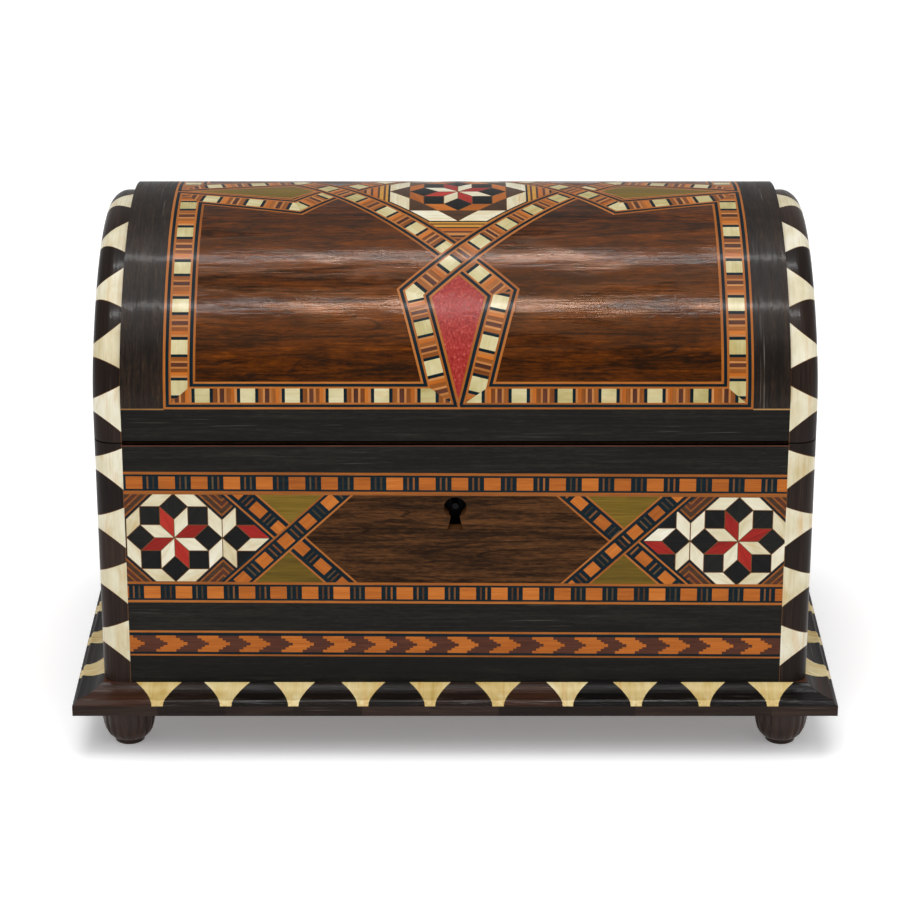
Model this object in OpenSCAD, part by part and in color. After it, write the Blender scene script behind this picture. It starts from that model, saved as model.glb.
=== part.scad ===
// Domed marquetry music box: hinged lid, lock, lined well, and an 18 note movement wound from below.
// Origin: centre of the footprint at the feet's lowest plane. +X right, +Y to the back, +Z up. Millimetres.

/* [Case] */
// overall width of the plinth, along X
plinth_w = 180; // [180:0.1:180.1]
// overall depth of the plinth, along Y
plinth_d = 113.4; // [113.4:0.1:113.5]
// how far the plinth stands out past the walls
ledge = 6.7; // [6.7:0.1:6.8]
// height of the feet
foot_h = 12.2; // [12.2:0.1:12.3]
// thickness of the plinth
plinth_t = 5.6; // [5.6:0.1:5.7]
// height of the walls from the plinth to the rim
wall_h = 60.6; // [60.6:0.1:60.7]
// thickness of the marquetry sheets
sheet = 1.5; // [1.5:0.1:1.6]
// thickness of the end boards
end_t = 5.2; // [5.2:0.1:5.3]
// thickness of the front and back boards
board_t = 7; // [7:0.1:7.1]
// width of the strip that runs round each vertical corner
strip_w = 6.7; // [6.7:0.1:6.8]
// radius of the rounded vertical corners
corner_r = 4.2; // [4.2:0.1:4.3]
// thickness of the bottom board
floor_t = 4; // [4:0.1:4.1]

/* [Lid] */
// gap between the rim and the closed lid
seam_gap = 0.3; // [0.3:0.05:0.35]
// height of the lid's upright band above the rim
band_h = 8; // [8:0.1:8.1]
// radius of the shoulder of the dome
shoulder_r = 25; // [25:0.1:25.1]
// radius of the crown of the dome
crown_r = 57; // [57:0.1:57.1]
// how much lower the end strips sit than the dome sheet
end_drop = 2; // [2:0.1:2.1]
// thickness of the bent crown panel under its sheet
crown_t = 4.5; // [4.5:0.1:4.6]
// how far the bevels behind the hinge pin fall away, in degrees
bevel = 47.5; // [47.5:0.1:47.6]

/* [Movement] */
// X of the spring barrel and winding key
barrel_x = 61; // [61:0.1:61.1]
// teeth on the barrel's crown
barrel_teeth = 36; // [36:1:37]
// teeth on the cylinder's driven gear
drive_teeth = 20; // [20:1:21]
// number of comb teeth
notes = 18; // [18:1:19]
// radius of the pinned cylinder
cyl_r = 5.7; // [5.7:0.1:5.8]
// teeth on the cylinder's governor gear
gov_gear_teeth = 24; // [24:1:25]
// teeth on the governor pinion
pinion_teeth = 12; // [12:1:13]
// teeth on the governor wheel
wheel_teeth = 20; // [20:1:21]

/* [Hidden] */
$fn = 64;
e = 0.01;
body_x = plinth_w/2 - ledge;
body_y = plinth_d/2 - ledge;
base_z = foot_h + plinth_t;
rim = base_z + wall_h;
lid_z = rim + seam_gap;
in_x = body_x - sheet - end_t;
in_y = body_y - sheet - board_t;
panel_x = body_x - strip_w;
panel_y = body_y - strip_w;
floor_z = base_z + floor_t;
small_y = body_y - shoulder_r;
big_drop = sqrt(pow(crown_r - shoulder_r, 2) - pow(small_y, 2));
big_z = band_h - big_drop;
wedge_a = atan2(big_drop, small_y);
rail_top = rim + band_h;
axis_y = body_y - 2.4;
axis_z = rim + seam_gap/2;
pin_r = 0.7;
knuckle_r = 1.6;
hinge_x = 48;
hinge_w = 24;
seg = (hinge_w - 0.6)/3;
key_z = rim - 16;
part_x0 = 18.2;
part_x1 = 21.2;
bed_z = floor_z + 2;
tooth_plane = bed_z + 10.2;
pitch_b = 12;
drive_r = pitch_b*drive_teeth/barrel_teeth;
cyl_z = tooth_plane + drive_r + 0.03;
gov_d = 8.8;
gear_a_r = gov_d*gov_gear_teeth/(gov_gear_teeth + pinion_teeth);
pinion_r = gov_d - gear_a_r;
gov_y = gov_d*cos(30);
gov_z = cyl_z - gov_d*sin(30);
wheel_r = 4.6;
worm_x = 25.9;
worm_y = gov_y + wheel_r + 1.2;
thread_p = 2*PI*wheel_r/wheel_teeth;
cover_z = 51;
rod_y = 39.9;

// ---------- helpers ----------
module along_x(x0, x1) { translate([x0, 0, 0]) rotate([90, 0, 90]) linear_extrude(x1 - x0) children(); }
module box(x0, x1, y0, y1, z0, z1) { translate([x0, y0, z0]) cube([x1 - x0, y1 - y0, z1 - z0]); }
module cyl_x(r, x0, x1, y, z) { translate([x0, y, z]) rotate([0, 90, 0]) cylinder(r = r, h = x1 - x0); }
module cyl_y(r, y0, y1, x, z) { translate([x, y0, z]) rotate([-90, 0, 0]) cylinder(r = r, h = y1 - y0); }
module cyl_z(r, z0, z1, x, y) { translate([x, y, z0]) cylinder(r = r, h = z1 - z0); }
module gear2d(n, r, add, ded, t) {
  circle(r = r - ded);
  for (i = [0 : n - 1]) rotate(i*360/n) translate([0, -t/2]) square([r + add, t]);
}

// dome section in Y and Z, pulled in by t and lowered by d, cut off below z0
module dome2d(t, d, z0) {
  intersection() {
    translate([0, rim - d]) union() {
      translate([-(body_y - t), -10]) square([2*(body_y - t), band_h + 10]);
      translate([small_y, band_h]) circle(r = shoulder_r - t, $fn = 96);
      translate([-small_y, band_h]) circle(r = shoulder_r - t, $fn = 96);
      intersection() {
        translate([0, big_z]) circle(r = crown_r - t, $fn = 160);
        translate([0, big_z]) polygon([[0, 0], [90*cos(wedge_a), 90*sin(wedge_a)], [0, 200], [-90*cos(wedge_a), 90*sin(wedge_a)]]);
      }
    }
    translate([-100, z0]) square([200, 100]);
  }
}
module dome_sheet2d(t0, t1, d, z0) { difference() { dome2d(t0, d, z0); dome2d(t1, d, z0 - 1); } }

// V shaped relief behind the hinge pin, which also stops the lid
module v_relief() {
  k = 3.4*tan(bevel);
  along_x(-90, 90) polygon([[axis_y, axis_z], [axis_y + 3.4, axis_z - k], [axis_y + 3.4, axis_z + k]]);
}
// seats for the two hinges in the rim and in the lid
module hinge_seats() {
  for (s = [-1, 1]) translate([s*hinge_x, 0, 0]) {
    cyl_x(knuckle_r + 0.3, -hinge_w/2 - 0.3, hinge_w/2 + 0.3, axis_y, axis_z);
    box(-hinge_w/2, hinge_w/2, in_y - e, axis_y - 1, rim - 0.8, lid_z + 0.8);
    for (x = [-8, 8]) cyl_z(0.7, rim - 5.8, lid_z + 5.8, x, in_y + 2.2);
  }
}

// ---------- feet and plinth ----------
module foot(sx, sy) {
  translate([sx*(plinth_w/2 - 12), sy*(body_y - 6), 0]) difference() {
    rotate_extrude() union() {
      square([3.65, 1.3]);
      translate([0, 1.2]) polygon([[0, 0], [3.45, 0], [4.4, 0.35], [5.1, 1.1], [5.7, 2.2], [6.1, 3.6], [6.35, 5.2], [6.4, 6.8], [6.2, 8.6], [5.6, 10], [5.2, foot_h - 1.2], [0, foot_h - 1.2]]);
    }
    translate([0, 0, 4]) cylinder(r = 0.9, h = 20);
  }
}
module foot_front_left() { color([0.25, 0.15, 0.09]) foot(-1, -1); }
module foot_front_right() { color([0.25, 0.15, 0.09]) foot(1, -1); }
module foot_back_left() { color([0.25, 0.15, 0.09]) foot(-1, 1); }
module foot_back_right() { color([0.25, 0.15, 0.09]) foot(1, 1); }
module foot_screws() {
  color([0.72, 0.7, 0.66]) for (sx = [-1, 1], sy = [-1, 1])
    cyl_z(0.9, 4, 16, sx*(plinth_w/2 - 12), sy*(body_y - 6));
}
module plinth_board() {
  color([0.3, 0.18, 0.1]) difference() {
    box(-body_x, body_x, -body_y, body_y, foot_h, base_z);
    cyl_z(14, foot_h - 1, base_z + 1, barrel_x, 0);
    for (sx = [-1, 1], sy = [-1, 1]) cyl_z(0.9, foot_h - 1, 16, sx*(plinth_w/2 - 12), sy*(body_y - 6));
  }
}
module edge2d() {
  polygon([[0, foot_h], [ledge, foot_h], [ledge, foot_h + 2.5], [ledge - 0.7, foot_h + 2.7], [ledge - 0.8, foot_h + 3.4], [ledge - 1.3, foot_h + 3.75],
    [ledge - 2.2, foot_h + 3.7], [ledge - 3.6, foot_h + 4.0], [ledge - 5, foot_h + 4.6], [ledge - 6.2, foot_h + 5.4], [0, base_z]]);
}
module edge_front() {
  intersection() {
    along_x(-plinth_w/2, plinth_w/2) translate([-body_y, 0]) mirror([1, 0]) edge2d();
    translate([0, 0, foot_h - 1]) linear_extrude(plinth_t + 2)
      polygon([[-plinth_w/2, -plinth_d/2], [plinth_w/2, -plinth_d/2], [body_x, -body_y], [-body_x, -body_y]]);
  }
}
module edge_right() {
  intersection() {
    translate([body_x, plinth_d/2, 0]) rotate([90, 0, 0]) linear_extrude(plinth_d) edge2d();
    translate([0, 0, foot_h - 1]) linear_extrude(plinth_t + 2)
      polygon([[plinth_w/2, -plinth_d/2], [plinth_w/2, plinth_d/2], [body_x, body_y], [body_x, -body_y]]);
  }
}
module plinth_edge_front() { color([0.35, 0.2, 0.12]) edge_front(); }
module plinth_edge_back() { color([0.35, 0.2, 0.12]) mirror([0, 1, 0]) edge_front(); }
module plinth_edge_right() { color([0.35, 0.2, 0.12]) edge_right(); }
module plinth_edge_left() { color([0.35, 0.2, 0.12]) mirror([1, 0, 0]) edge_right(); }

// ---------- case ----------
module keyhole(y0, y1) {
  cyl_y(2.7, y0, y1, 0, key_z);
  translate([0, y1, 0]) rotate([90, 0, 0]) linear_extrude(y1 - y0)
    polygon([[-1.1, key_z], [1.1, key_z], [1.85, key_z - 5.6], [-1.85, key_z - 5.6]]);
}
module bottom_board() {
  color([0.62, 0.45, 0.28]) difference() {
    box(-in_x, in_x, -in_y, in_y, base_z, floor_z);
    cyl_z(4.5, base_z - 1, floor_z + 1, barrel_x, 0);
    for (p = [[28, -17], [72, -19], [44, 16]]) { cyl_z(0.9, base_z - 1, floor_z + 1, p[0], p[1]); cyl_z(1.8, base_z - 1, base_z + 1.2, p[0], p[1]); }
  }
}
module front_board() {
  color([0.5, 0.34, 0.2]) difference() {
    box(-in_x, in_x, -in_y - board_t, -in_y, base_z, rim);
    box(-14.2, 14.2, -46.1, -in_y + 1, rim - 23.4, rim + 1);
    keyhole(-in_y - board_t - 1, -in_y + 1);
    for (x = [-15.6, 15.6], z = [rim - 22.6, rim - 3]) cyl_y(0.7, -in_y - 4, -in_y + 1, x, z);
  }
}
module back_board() {
  color([0.5, 0.34, 0.2]) difference() {
    box(-in_x, in_x, in_y, in_y + board_t, base_z, rim);
    v_relief();
    hinge_seats();
  }
}
module end_board() {
  difference() {
    box(in_x, in_x + end_t, -in_y - board_t, in_y + board_t, base_z, rim);
    v_relief();
  }
}
module right_board() { color([0.5, 0.34, 0.2]) end_board(); }
module left_board() { color([0.5, 0.34, 0.2]) mirror([1, 0, 0]) end_board(); }
module front_marquetry() {
  color([0.2, 0.19, 0.16]) difference() {
    box(-panel_x, panel_x, -body_y, -body_y + sheet, base_z, rim);
    keyhole(-body_y - 1, -body_y + sheet + 1);
  }
}
module back_marquetry() {
  color([0.2, 0.19, 0.16]) difference() {
    box(-panel_x, panel_x, body_y - sheet, body_y, base_z, rim);
    v_relief();
    hinge_seats();
  }
}
module side_sheet() { box(body_x - sheet, body_x, -panel_y, panel_y, base_z, rim); }
module right_marquetry() { color([0.2, 0.19, 0.16]) side_sheet(); }
module left_marquetry() { color([0.2, 0.19, 0.16]) mirror([1, 0, 0]) side_sheet(); }
// L section of a strip whose outer corner at (x + strip_w, y + strip_w) is rounded
module strip_l(x, y) {
  cx = x + strip_w - corner_r;
  cy = y + strip_w - corner_r;
  difference() {
    translate([x, y]) square(strip_w);
    translate([x - 1, y - 1]) square(strip_w + 1 - sheet);
    difference() {
      translate([cx, cy]) square(corner_r + 1);
      translate([cx, cy]) circle(r = corner_r);
    }
  }
}
module corner2d() { strip_l(panel_x, panel_y); }
module corner_strips() {
  color([0.55, 0.45, 0.3]) difference() {
    for (a = [0, 1], b = [0, 1]) mirror([a, 0, 0]) mirror([0, b, 0])
      translate([0, 0, base_z]) linear_extrude(wall_h) corner2d();
    v_relief();
  }
}
module partition() { color([0.5, 0.34, 0.2]) box(part_x0, part_x1, -in_y, in_y, floor_z, 72); }
module cover_cleats() {
  color([0.5, 0.34, 0.2]) { box(part_x1, part_x1 + 2.6, -34, 34, 48, cover_z); box(in_x - 2.6, in_x, -34, 34, 48, cover_z); }
}
module well_floor_velvet() { color([0.45, 0.03, 0.06]) box(-in_x, part_x0, -in_y, in_y, floor_z, floor_z + 1.5); }
module well_wall_velvet() {
  color([0.45, 0.03, 0.06]) {
    box(-in_x, -in_x + 1, -in_y, in_y, floor_z + 1.5, rim - 3);
    box(-in_x + 1, part_x0 - 1, in_y - 1, in_y, floor_z + 1.5, rim - 3);
    difference() {
      box(-in_x + 1, part_x0 - 1, -in_y, -in_y + 1, floor_z + 1.5, rim - 3);
      box(-17.4, 17.4, -in_y - 1, -in_y + 2, rim - 26, rim);
    }
    box(part_x0 - 1, part_x0, -in_y, in_y, floor_z + 1.5, 71);
  }
}

// ---------- lid ----------
module lid_front_rail() {
  color([0.5, 0.34, 0.2]) difference() {
    box(-in_x, in_x, -in_y - board_t, -in_y, lid_z, rail_top);
    box(-12, 12, -47.2, -in_y + 1, lid_z - 1, lid_z + 1);
    box(-5.6, 5.6, -45.8, -in_y + 1, lid_z - 1, lid_z + 4.6);
  }
}
module lid_back_rail() {
  color([0.5, 0.34, 0.2]) difference() {
    union() {
      box(-in_x, in_x, in_y, in_y + board_t, lid_z, rail_top);
      box(23.4, 28.4, in_y - 3.4, in_y + e, lid_z, rail_top);
    }
    v_relief();
    hinge_seats();
  }
}
module lid_crown_panel() { color([0.5, 0.34, 0.2]) along_x(-in_x, in_x) dome_sheet2d(sheet, sheet + crown_t, 0, rail_top); }
module lid_end() {
  difference() {
    along_x(in_x, in_x + end_t) dome2d(sheet, end_drop, lid_z);
    v_relief();
  }
}
module lid_right_end() { color([0.5, 0.34, 0.2]) lid_end(); }
module lid_left_end() { color([0.5, 0.34, 0.2]) mirror([1, 0, 0]) lid_end(); }
module lid_marquetry() {
  color([0.35, 0.2, 0.1]) difference() {
    along_x(-panel_x, panel_x) dome_sheet2d(0, sheet, 0, lid_z);
    v_relief();
    hinge_seats();
  }
}
module lid_veneer() { along_x(body_x - sheet, body_x) dome2d(strip_w, end_drop, lid_z); }
module lid_end_veneers() { color([0.2, 0.19, 0.16]) { lid_veneer(); mirror([1, 0, 0]) lid_veneer(); } }
// turns the strip's section about the centre of one arc of the dome
module strip_turn(r, y, z, a0, a1) {
  translate([0, y, z]) rotate([a0, 0, 0]) rotate([0, 90, 0]) rotate([0, 0, 90]) rotate_extrude(angle = a1 - a0, $fn = 96) strip_l(r - strip_w, panel_x);
}
// five lengths end to end with hair joints
module lid_strip() {
  zl = rim - end_drop;
  difference() {
    union() {
      strip_turn(crown_r, 0, zl + big_z, wedge_a + 0.01, 180 - wedge_a - 0.01);
      strip_turn(shoulder_r, small_y, zl + band_h, 0.02, wedge_a - 0.01);
      strip_turn(shoulder_r, -small_y, zl + band_h, 180 - wedge_a + 0.01, 179.98);
      for (s = [0, 1]) mirror([0, s, 0]) translate([0, 0, lid_z]) linear_extrude(zl + band_h - lid_z) corner2d();
    }
    v_relief();
  }
}
module lid_right_strip() { color([0.55, 0.45, 0.3]) lid_strip(); }
module lid_left_strip() { color([0.55, 0.45, 0.3]) mirror([1, 0, 0]) lid_strip(); }
module lid_velvet() { color([0.45, 0.03, 0.06]) along_x(-in_x, in_x) dome_sheet2d(sheet + crown_t, sheet + crown_t + 1, 0, rail_top); }

// ---------- hinges ----------
module leaf(x0, x1, up) {
  z0 = up ? lid_z : rim - 0.8;
  box(x0, x1, in_y + 0.6, axis_y - 1, z0, z0 + 0.8);
}
module body_leaf() {
  difference() {
    union() {
      leaf(-hinge_w/2, hinge_w/2, false);
      cyl_x(knuckle_r, -hinge_w/2, -hinge_w/2 + seg, axis_y, axis_z);
      cyl_x(knuckle_r, hinge_w/2 - seg, hinge_w/2, axis_y, axis_z);
    }
    cyl_x(knuckle_r + 0.3, -hinge_w/2 + seg, hinge_w/2 - seg, axis_y, axis_z);
    cyl_x(pin_r, -hinge_w, hinge_w, axis_y, axis_z);
    for (x = [-8, 8]) translate([x, in_y + 2.2, rim - 0.8 - e]) cylinder(r1 = 0.75, r2 = 1.4, h = 0.8 + 2*e);
  }
}
module lid_leaf() {
  difference() {
    union() {
      leaf(-hinge_w/2, hinge_w/2, true);
      cyl_x(knuckle_r, -seg/2, seg/2, axis_y, axis_z);
    }
    cyl_x(knuckle_r + 0.3, -hinge_w/2 - 1, -seg/2 - e, axis_y, axis_z);
    cyl_x(knuckle_r + 0.3, seg/2 + e, hinge_w/2 + 1, axis_y, axis_z);
    cyl_x(pin_r + 0.05, -hinge_w, hinge_w, axis_y, axis_z);
    for (x = [-8, 8]) translate([x, in_y + 2.2, lid_z - e]) cylinder(r1 = 1.4, r2 = 0.75, h = 0.8 + 2*e);
  }
}
module hinge_body_leaves() { color([0.8, 0.62, 0.28]) for (s = [-1, 1]) translate([s*hinge_x, 0, 0]) body_leaf(); }
module hinge_lid_leaves() { color([0.8, 0.62, 0.28]) for (s = [-1, 1]) translate([s*hinge_x, 0, 0]) lid_leaf(); }
module hinge_pins() { color([0.7, 0.68, 0.62]) for (s = [-1, 1]) cyl_x(pin_r, s*hinge_x - hinge_w/2, s*hinge_x + hinge_w/2, axis_y, axis_z); }
module hinge_body_screws() {
  color([0.8, 0.62, 0.28]) for (s = [-1, 1], x = [-8, 8]) translate([s*hinge_x + x, in_y + 2.2, 0]) {
    cyl_z(0.7, rim - 5.8, rim - 0.4, 0, 0);
    translate([0, 0, rim - 0.8]) cylinder(r1 = 0.73, r2 = 1.37, h = 0.79);
  }
}
module hinge_lid_screws() {
  color([0.8, 0.62, 0.28]) for (s = [-1, 1], x = [-8, 8]) translate([s*hinge_x + x, in_y + 2.2, 0]) {
    cyl_z(0.7, lid_z + 0.4, lid_z + 5.8, 0, 0);
    translate([0, 0, lid_z + 0.01]) cylinder(r1 = 1.37, r2 = 0.73, h = 0.79);
  }
}

// ---------- lock ----------
module lock_case() {
  color([0.78, 0.6, 0.27]) difference() {
    union() {
      box(-14, 14, -46, -in_y, rim - 23.2, rim - 0.2);
      box(-17, 17, -in_y, -in_y + 0.8, rim - 25, rim - 0.2);
      cyl_y(0.75, -49.2, -46 + e, 0, key_z + 0.2);
    }
    difference() {
      box(-11, 11, -45.2, -42.2, rim - 21.4, rim - 1.2);
      cyl_y(0.75, -46, -42, 0, key_z + 0.2);
    }
    box(-5.2, 5.2, -45.2, -42.2, rim - 2, rim + 1);
    difference() { keyhole(-47, -44.6); cyl_y(0.75, -48, -44, 0, key_z + 0.2); }
    for (x = [-15.6, 15.6], z = [rim - 22.6, rim - 3]) translate([x, -in_y - 1, z]) rotate([-90, 0, 0]) cylinder(r = 0.75, h = 3);
  }
}
module lock_screws() {
  color([0.8, 0.62, 0.28]) for (x = [-15.6, 15.6], z = [rim - 22.6, rim - 3]) {
    cyl_y(0.7, -in_y - 4, -in_y + 0.8, x, z);
    difference() { cyl_y(1.4, -in_y + 0.8, -in_y + 1.5, x, z); box(x - 2, x + 2, -in_y + 1.2, -in_y + 2, z - 0.15, z + 0.15); }
  }
}
module lock_bolt() {
  color([0.8, 0.78, 0.72]) difference() {
    box(-5, 5, -45, -42.4, rim - 12, rim - 0.8);
    box(-2, 2, -46, -42, rim - 13, rim - 9.5);
  }
}
module strike_plate() {
  color([0.78, 0.6, 0.27]) difference() {
    box(-12, 12, -47.2, -in_y, lid_z, lid_z + 1);
    box(-5.6, 5.6, -45.8, -in_y + 1, lid_z - 1, lid_z + 2);
  }
}

// ---------- lift-out cover over the movement ----------
module movement_cover() {
  color([0.5, 0.34, 0.2]) difference() {
    box(part_x1 + 0.4, in_x - 0.4, -in_y + 1.9, in_y - 0.4, cover_z, cover_z + 2.5);
    box(worm_x - 1.6, worm_x + 1.6, rod_y - 1.6, in_y, cover_z - 1, cover_z + 4);
    cyl_z(1, cover_z + 1, cover_z + 3, 49, 0);
  }
}
module cover_velvet() {
  color([0.45, 0.03, 0.06]) difference() {
    box(part_x1 + 0.4, in_x - 0.4, -in_y + 1.9, in_y - 0.4, cover_z + 2.5, cover_z + 3.5);
    box(worm_x - 1.6, worm_x + 1.6, rod_y - 1.6, in_y, cover_z, cover_z + 5);
    cyl_z(1, cover_z, cover_z + 5, 49, 0);
  }
}
module cover_knob() {
  color([0.8, 0.62, 0.28]) translate([49, 0, cover_z + 1]) rotate_extrude()
    polygon([[0, 0], [1, 0], [1, 2.5], [2.6, 2.5], [2.4, 3.2], [1.5, 3.8], [1.5, 5.2], [2.6, 5.9], [3.1, 7], [2.8, 8.1], [1.6, 8.8], [0, 9]]);
}
module stop_rod() {
  color([0.75, 0.73, 0.68]) {
    cyl_z(0.8, 30, rim - 0.1, worm_x, rod_y);
    cyl_y(0.5, worm_y, rod_y, worm_x, 47);
  }
}

// ---------- movement ----------
module bedplate() {
  color([0.78, 0.6, 0.27]) difference() {
    union() {
      box(23, 75.2, -22, 19, floor_z, bed_z);
      box(30.5, 48.2, -22, -13.5, bed_z - e, cyl_z - 0.5);
    }
    cyl_z(1.7, floor_z - 1, bed_z + 1, barrel_x, 0);
    for (p = [[28, -17], [72, -19], [44, 16]]) cyl_z(0.9, floor_z - 1, bed_z + 1, p[0], p[1]);
    for (x = [34.2, 44.6]) cyl_z(0.9, cyl_z - 6, cyl_z, x, -18.2);
  }
}
module comb() {
  tp = 0.9;
  color([0.68, 0.69, 0.7]) difference() {
    box(31.3, 31.3 + tp*notes - 0.25, -22, -6.75, cyl_z - 0.5, cyl_z + 0.5);
    for (i = [1 : notes - 1]) box(31.3 + tp*i - 0.25, 31.3 + tp*i, -14.4 + i*0.12, -6, cyl_z - 1, cyl_z + 1);
    box(30, 50, -15, -6, cyl_z + 0.15, cyl_z + 1);
    for (x = [34.2, 44.6]) cyl_z(0.9, cyl_z - 1, cyl_z + 1, x, -18.2);
  }
}
module comb_screws() {
  color([0.8, 0.78, 0.72]) for (x = [34.2, 44.6]) {
    cyl_z(0.9, cyl_z - 6, cyl_z + 0.5, x, -18.2);
    difference() { cyl_z(2, cyl_z + 0.5, cyl_z + 1.7, x, -18.2); box(x - 3, x + 3, -18.4, -18, cyl_z + 1.2, cyl_z + 3); }
  }
}
module train_brackets() {
  color([0.78, 0.6, 0.27]) {
    // left plate: cylinder arbor and governor wheel arbor
    difference() {
      along_x(23.4, 24.6) polygon([[-4, bed_z], [11, bed_z], [11, 38.5], [8.5, 39.5], [3, 42.4], [-3, 42.4]]);
      cyl_x(0.85, 23, 25, 0, cyl_z);
      cyl_x(0.65, 23, 25, gov_y, gov_z);
    }
    // inner post for the governor wheel arbor
    difference() {
      along_x(30.9, 31.9) union() { translate([gov_y, gov_z]) circle(r = 1.7); polygon([[gov_y - 0.9, gov_z], [gov_y + 1.7, gov_z], [gov_y + 3, bed_z], [gov_y - 1.5, bed_z]]); }
      cyl_x(0.65, 30, 33, gov_y, gov_z);
    }
    // bearing for the fan's worm
    difference() {
      union() {
        box(worm_x - 1.4, worm_x + 1.4, worm_y - 1.4, 17.6, bed_z, 29.6);
        box(worm_x - 1.4, worm_x + 1.4, 15.8, 17.6, 29, 42.2);
        box(worm_x - 1.4, worm_x + 1.4, worm_y - 1, 17.6, 41.2, 42.2);
      }
      cyl_z(0.5, 28.4, 43, worm_x, worm_y);
    }
    // guide for the stop rod, on the back wall
    difference() {
      box(worm_x - 2.5, worm_x + 2.5, rod_y - 2.2, in_y, 32, 42);
      cyl_z(0.85, 31, 43, worm_x, rod_y);
    }
  }
}
module barrel_bridge() {
  color([0.78, 0.6, 0.27]) difference() {
    union() {
      for (s = [-1, 1]) cyl_z(1.8, bed_z, 36.6, barrel_x, s*16);
      box(52, 65, -18, 18, 36.4, 37.6);
      box(52, 53.4, -4, 4, 37.5, 43.6);
    }
    cyl_z(1.65, 36, 38, barrel_x, 0);
    cyl_x(0.85, 51, 55, 0, cyl_z);
    translate([0, 0, 34]) linear_extrude(5) polygon([[66, 5], [66, 20], [56, 20], [56, 19]]);
  }
}
module movement_screws() {
  color([0.72, 0.7, 0.66]) for (p = [[28, -17], [72, -19], [44, 16]]) { cyl_z(0.9, base_z, bed_z, p[0], p[1]); cyl_z(1.8, base_z, base_z + 1.2, p[0], p[1]); }
}
module barrel() {
  color([0.8, 0.62, 0.28]) translate([barrel_x, 0, 0]) difference() {
    union() {
      cyl_z(13, bed_z + 0.6, tooth_plane - 0.6, 0, 0);
      for (i = [0 : barrel_teeth - 1]) rotate((i + 0.5)*360/barrel_teeth) box(11, 12.9, -0.3, 0.3, tooth_plane - 1, tooth_plane + 0.6);
    }
    cyl_z(11.4, bed_z + 1.4, tooth_plane - 1.4, 0, 0);
    cyl_z(1.65, bed_z, tooth_plane + 1, 0, 0);
  }
}
module mainspring() {
  turns = 6; w = 0.35; n = 30;
  color([0.45, 0.46, 0.5]) translate([barrel_x, 0, bed_z + 2]) linear_extrude(tooth_plane - bed_z - 4)
    polygon(concat([for (i = [0 : turns*n]) let (a = i*360/n, r = 3.6 + (11.4 - 3.6)*i/(turns*n)) [r*cos(a), r*sin(a)]],
      [for (j = [0 : turns*n]) let (i = turns*n - j, a = i*360/n, r = 3.6 - w + (11.4 - 3.6)*i/(turns*n)) [r*cos(a), r*sin(a)]]));
}
module winding_arbor() {
  color([0.7, 0.68, 0.62]) translate([barrel_x, 0, 0]) {
    cyl_z(1.6, 9, 40, 0, 0);
    cyl_z(2.8, bed_z + 2, tooth_plane - 2, 0, 0);
    translate([0, 0, 37.9]) linear_extrude(1) union() {
      circle(r = 3.6);
      for (i = [0 : 11]) rotate(i*30) polygon([[3, -0.7], [4.6, -0.7], [3.4, 1], [2.5, 1]]);
    }
  }
}
module winding_key() {
  color([0.8, 0.62, 0.28]) translate([barrel_x, 0, 0]) difference() {
    union() {
      cyl_z(3.2, 6.5, 16.6, 0, 0);
      box(-11, 11, -0.9, 0.9, 4.4, 11.6);
      for (s = [-1, 1]) { cyl_y(3.8, -0.9, 0.9, s*9.8, 6.6); }
    }
    cyl_z(1.6, 9, 18, 0, 0);
    for (s = [-1, 1]) cyl_y(1.6, -2, 2, s*8.6, 7.4);
  }
}
module pinned_cylinder() {
  color([0.82, 0.66, 0.32]) {
    cyl_x(0.8, 23.2, 54.2, 0, cyl_z);
    cyl_x(cyl_r, 31, 47.8, 0, cyl_z);
    translate([0, 0, cyl_z]) {
      for (i = [0 : notes - 1], k = [0, 1]) translate([31.3 + 0.9*i + 0.32, 0, 0]) rotate([i*67 + k*151 + 20, 0, 0]) cylinder(r = 0.2, h = cyl_r + 0.6, $fn = 12);
      along_x(28.8, 30.2) gear2d(gov_gear_teeth, gear_a_r, 0.4, 0.55, 0.5);
      along_x(48, 50) gear2d(drive_teeth, drive_r, 0.5, 0.7, 0.6);
    }
  }
}
module governor_wheel() {
  color([0.8, 0.62, 0.28]) {
    cyl_x(0.6, 23.2, 31.9, gov_y, gov_z);
    translate([0, gov_y, gov_z]) {
      along_x(25.4, 26.4) gear2d(wheel_teeth, wheel_r, 0.4, 0.6, 0.45);
      along_x(26.4 - e, 30.3) rotate(180/pinion_teeth) gear2d(pinion_teeth, pinion_r, 0.4, 0.55, 0.5);
    }
  }
}
module governor_fan() {
  z0 = 31.6; h = 8.8;
  a0 = 90 - 360*(gov_z - z0)/thread_p;
  color([0.72, 0.7, 0.66]) translate([worm_x, worm_y, 0]) {
    cyl_z(0.45, 28.6, 46, 0, 0);
    translate([0, 0, z0]) linear_extrude(h, twist = -360*h/thread_p, slices = 110, $fn = 8) rotate(a0)
      polygon(concat([for (a = [-48 : 16 : 48]) [1.5*cos(a), 1.5*sin(a)]], [for (a = [75 : 35 : 285]) [0.62*cos(a), 0.62*sin(a)]]));
    cyl_z(1, 42.8, 46, 0, 0);
    box(-4.1, 4.1, -0.15, 0.15, 43, 45.8);
  }
}

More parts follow.
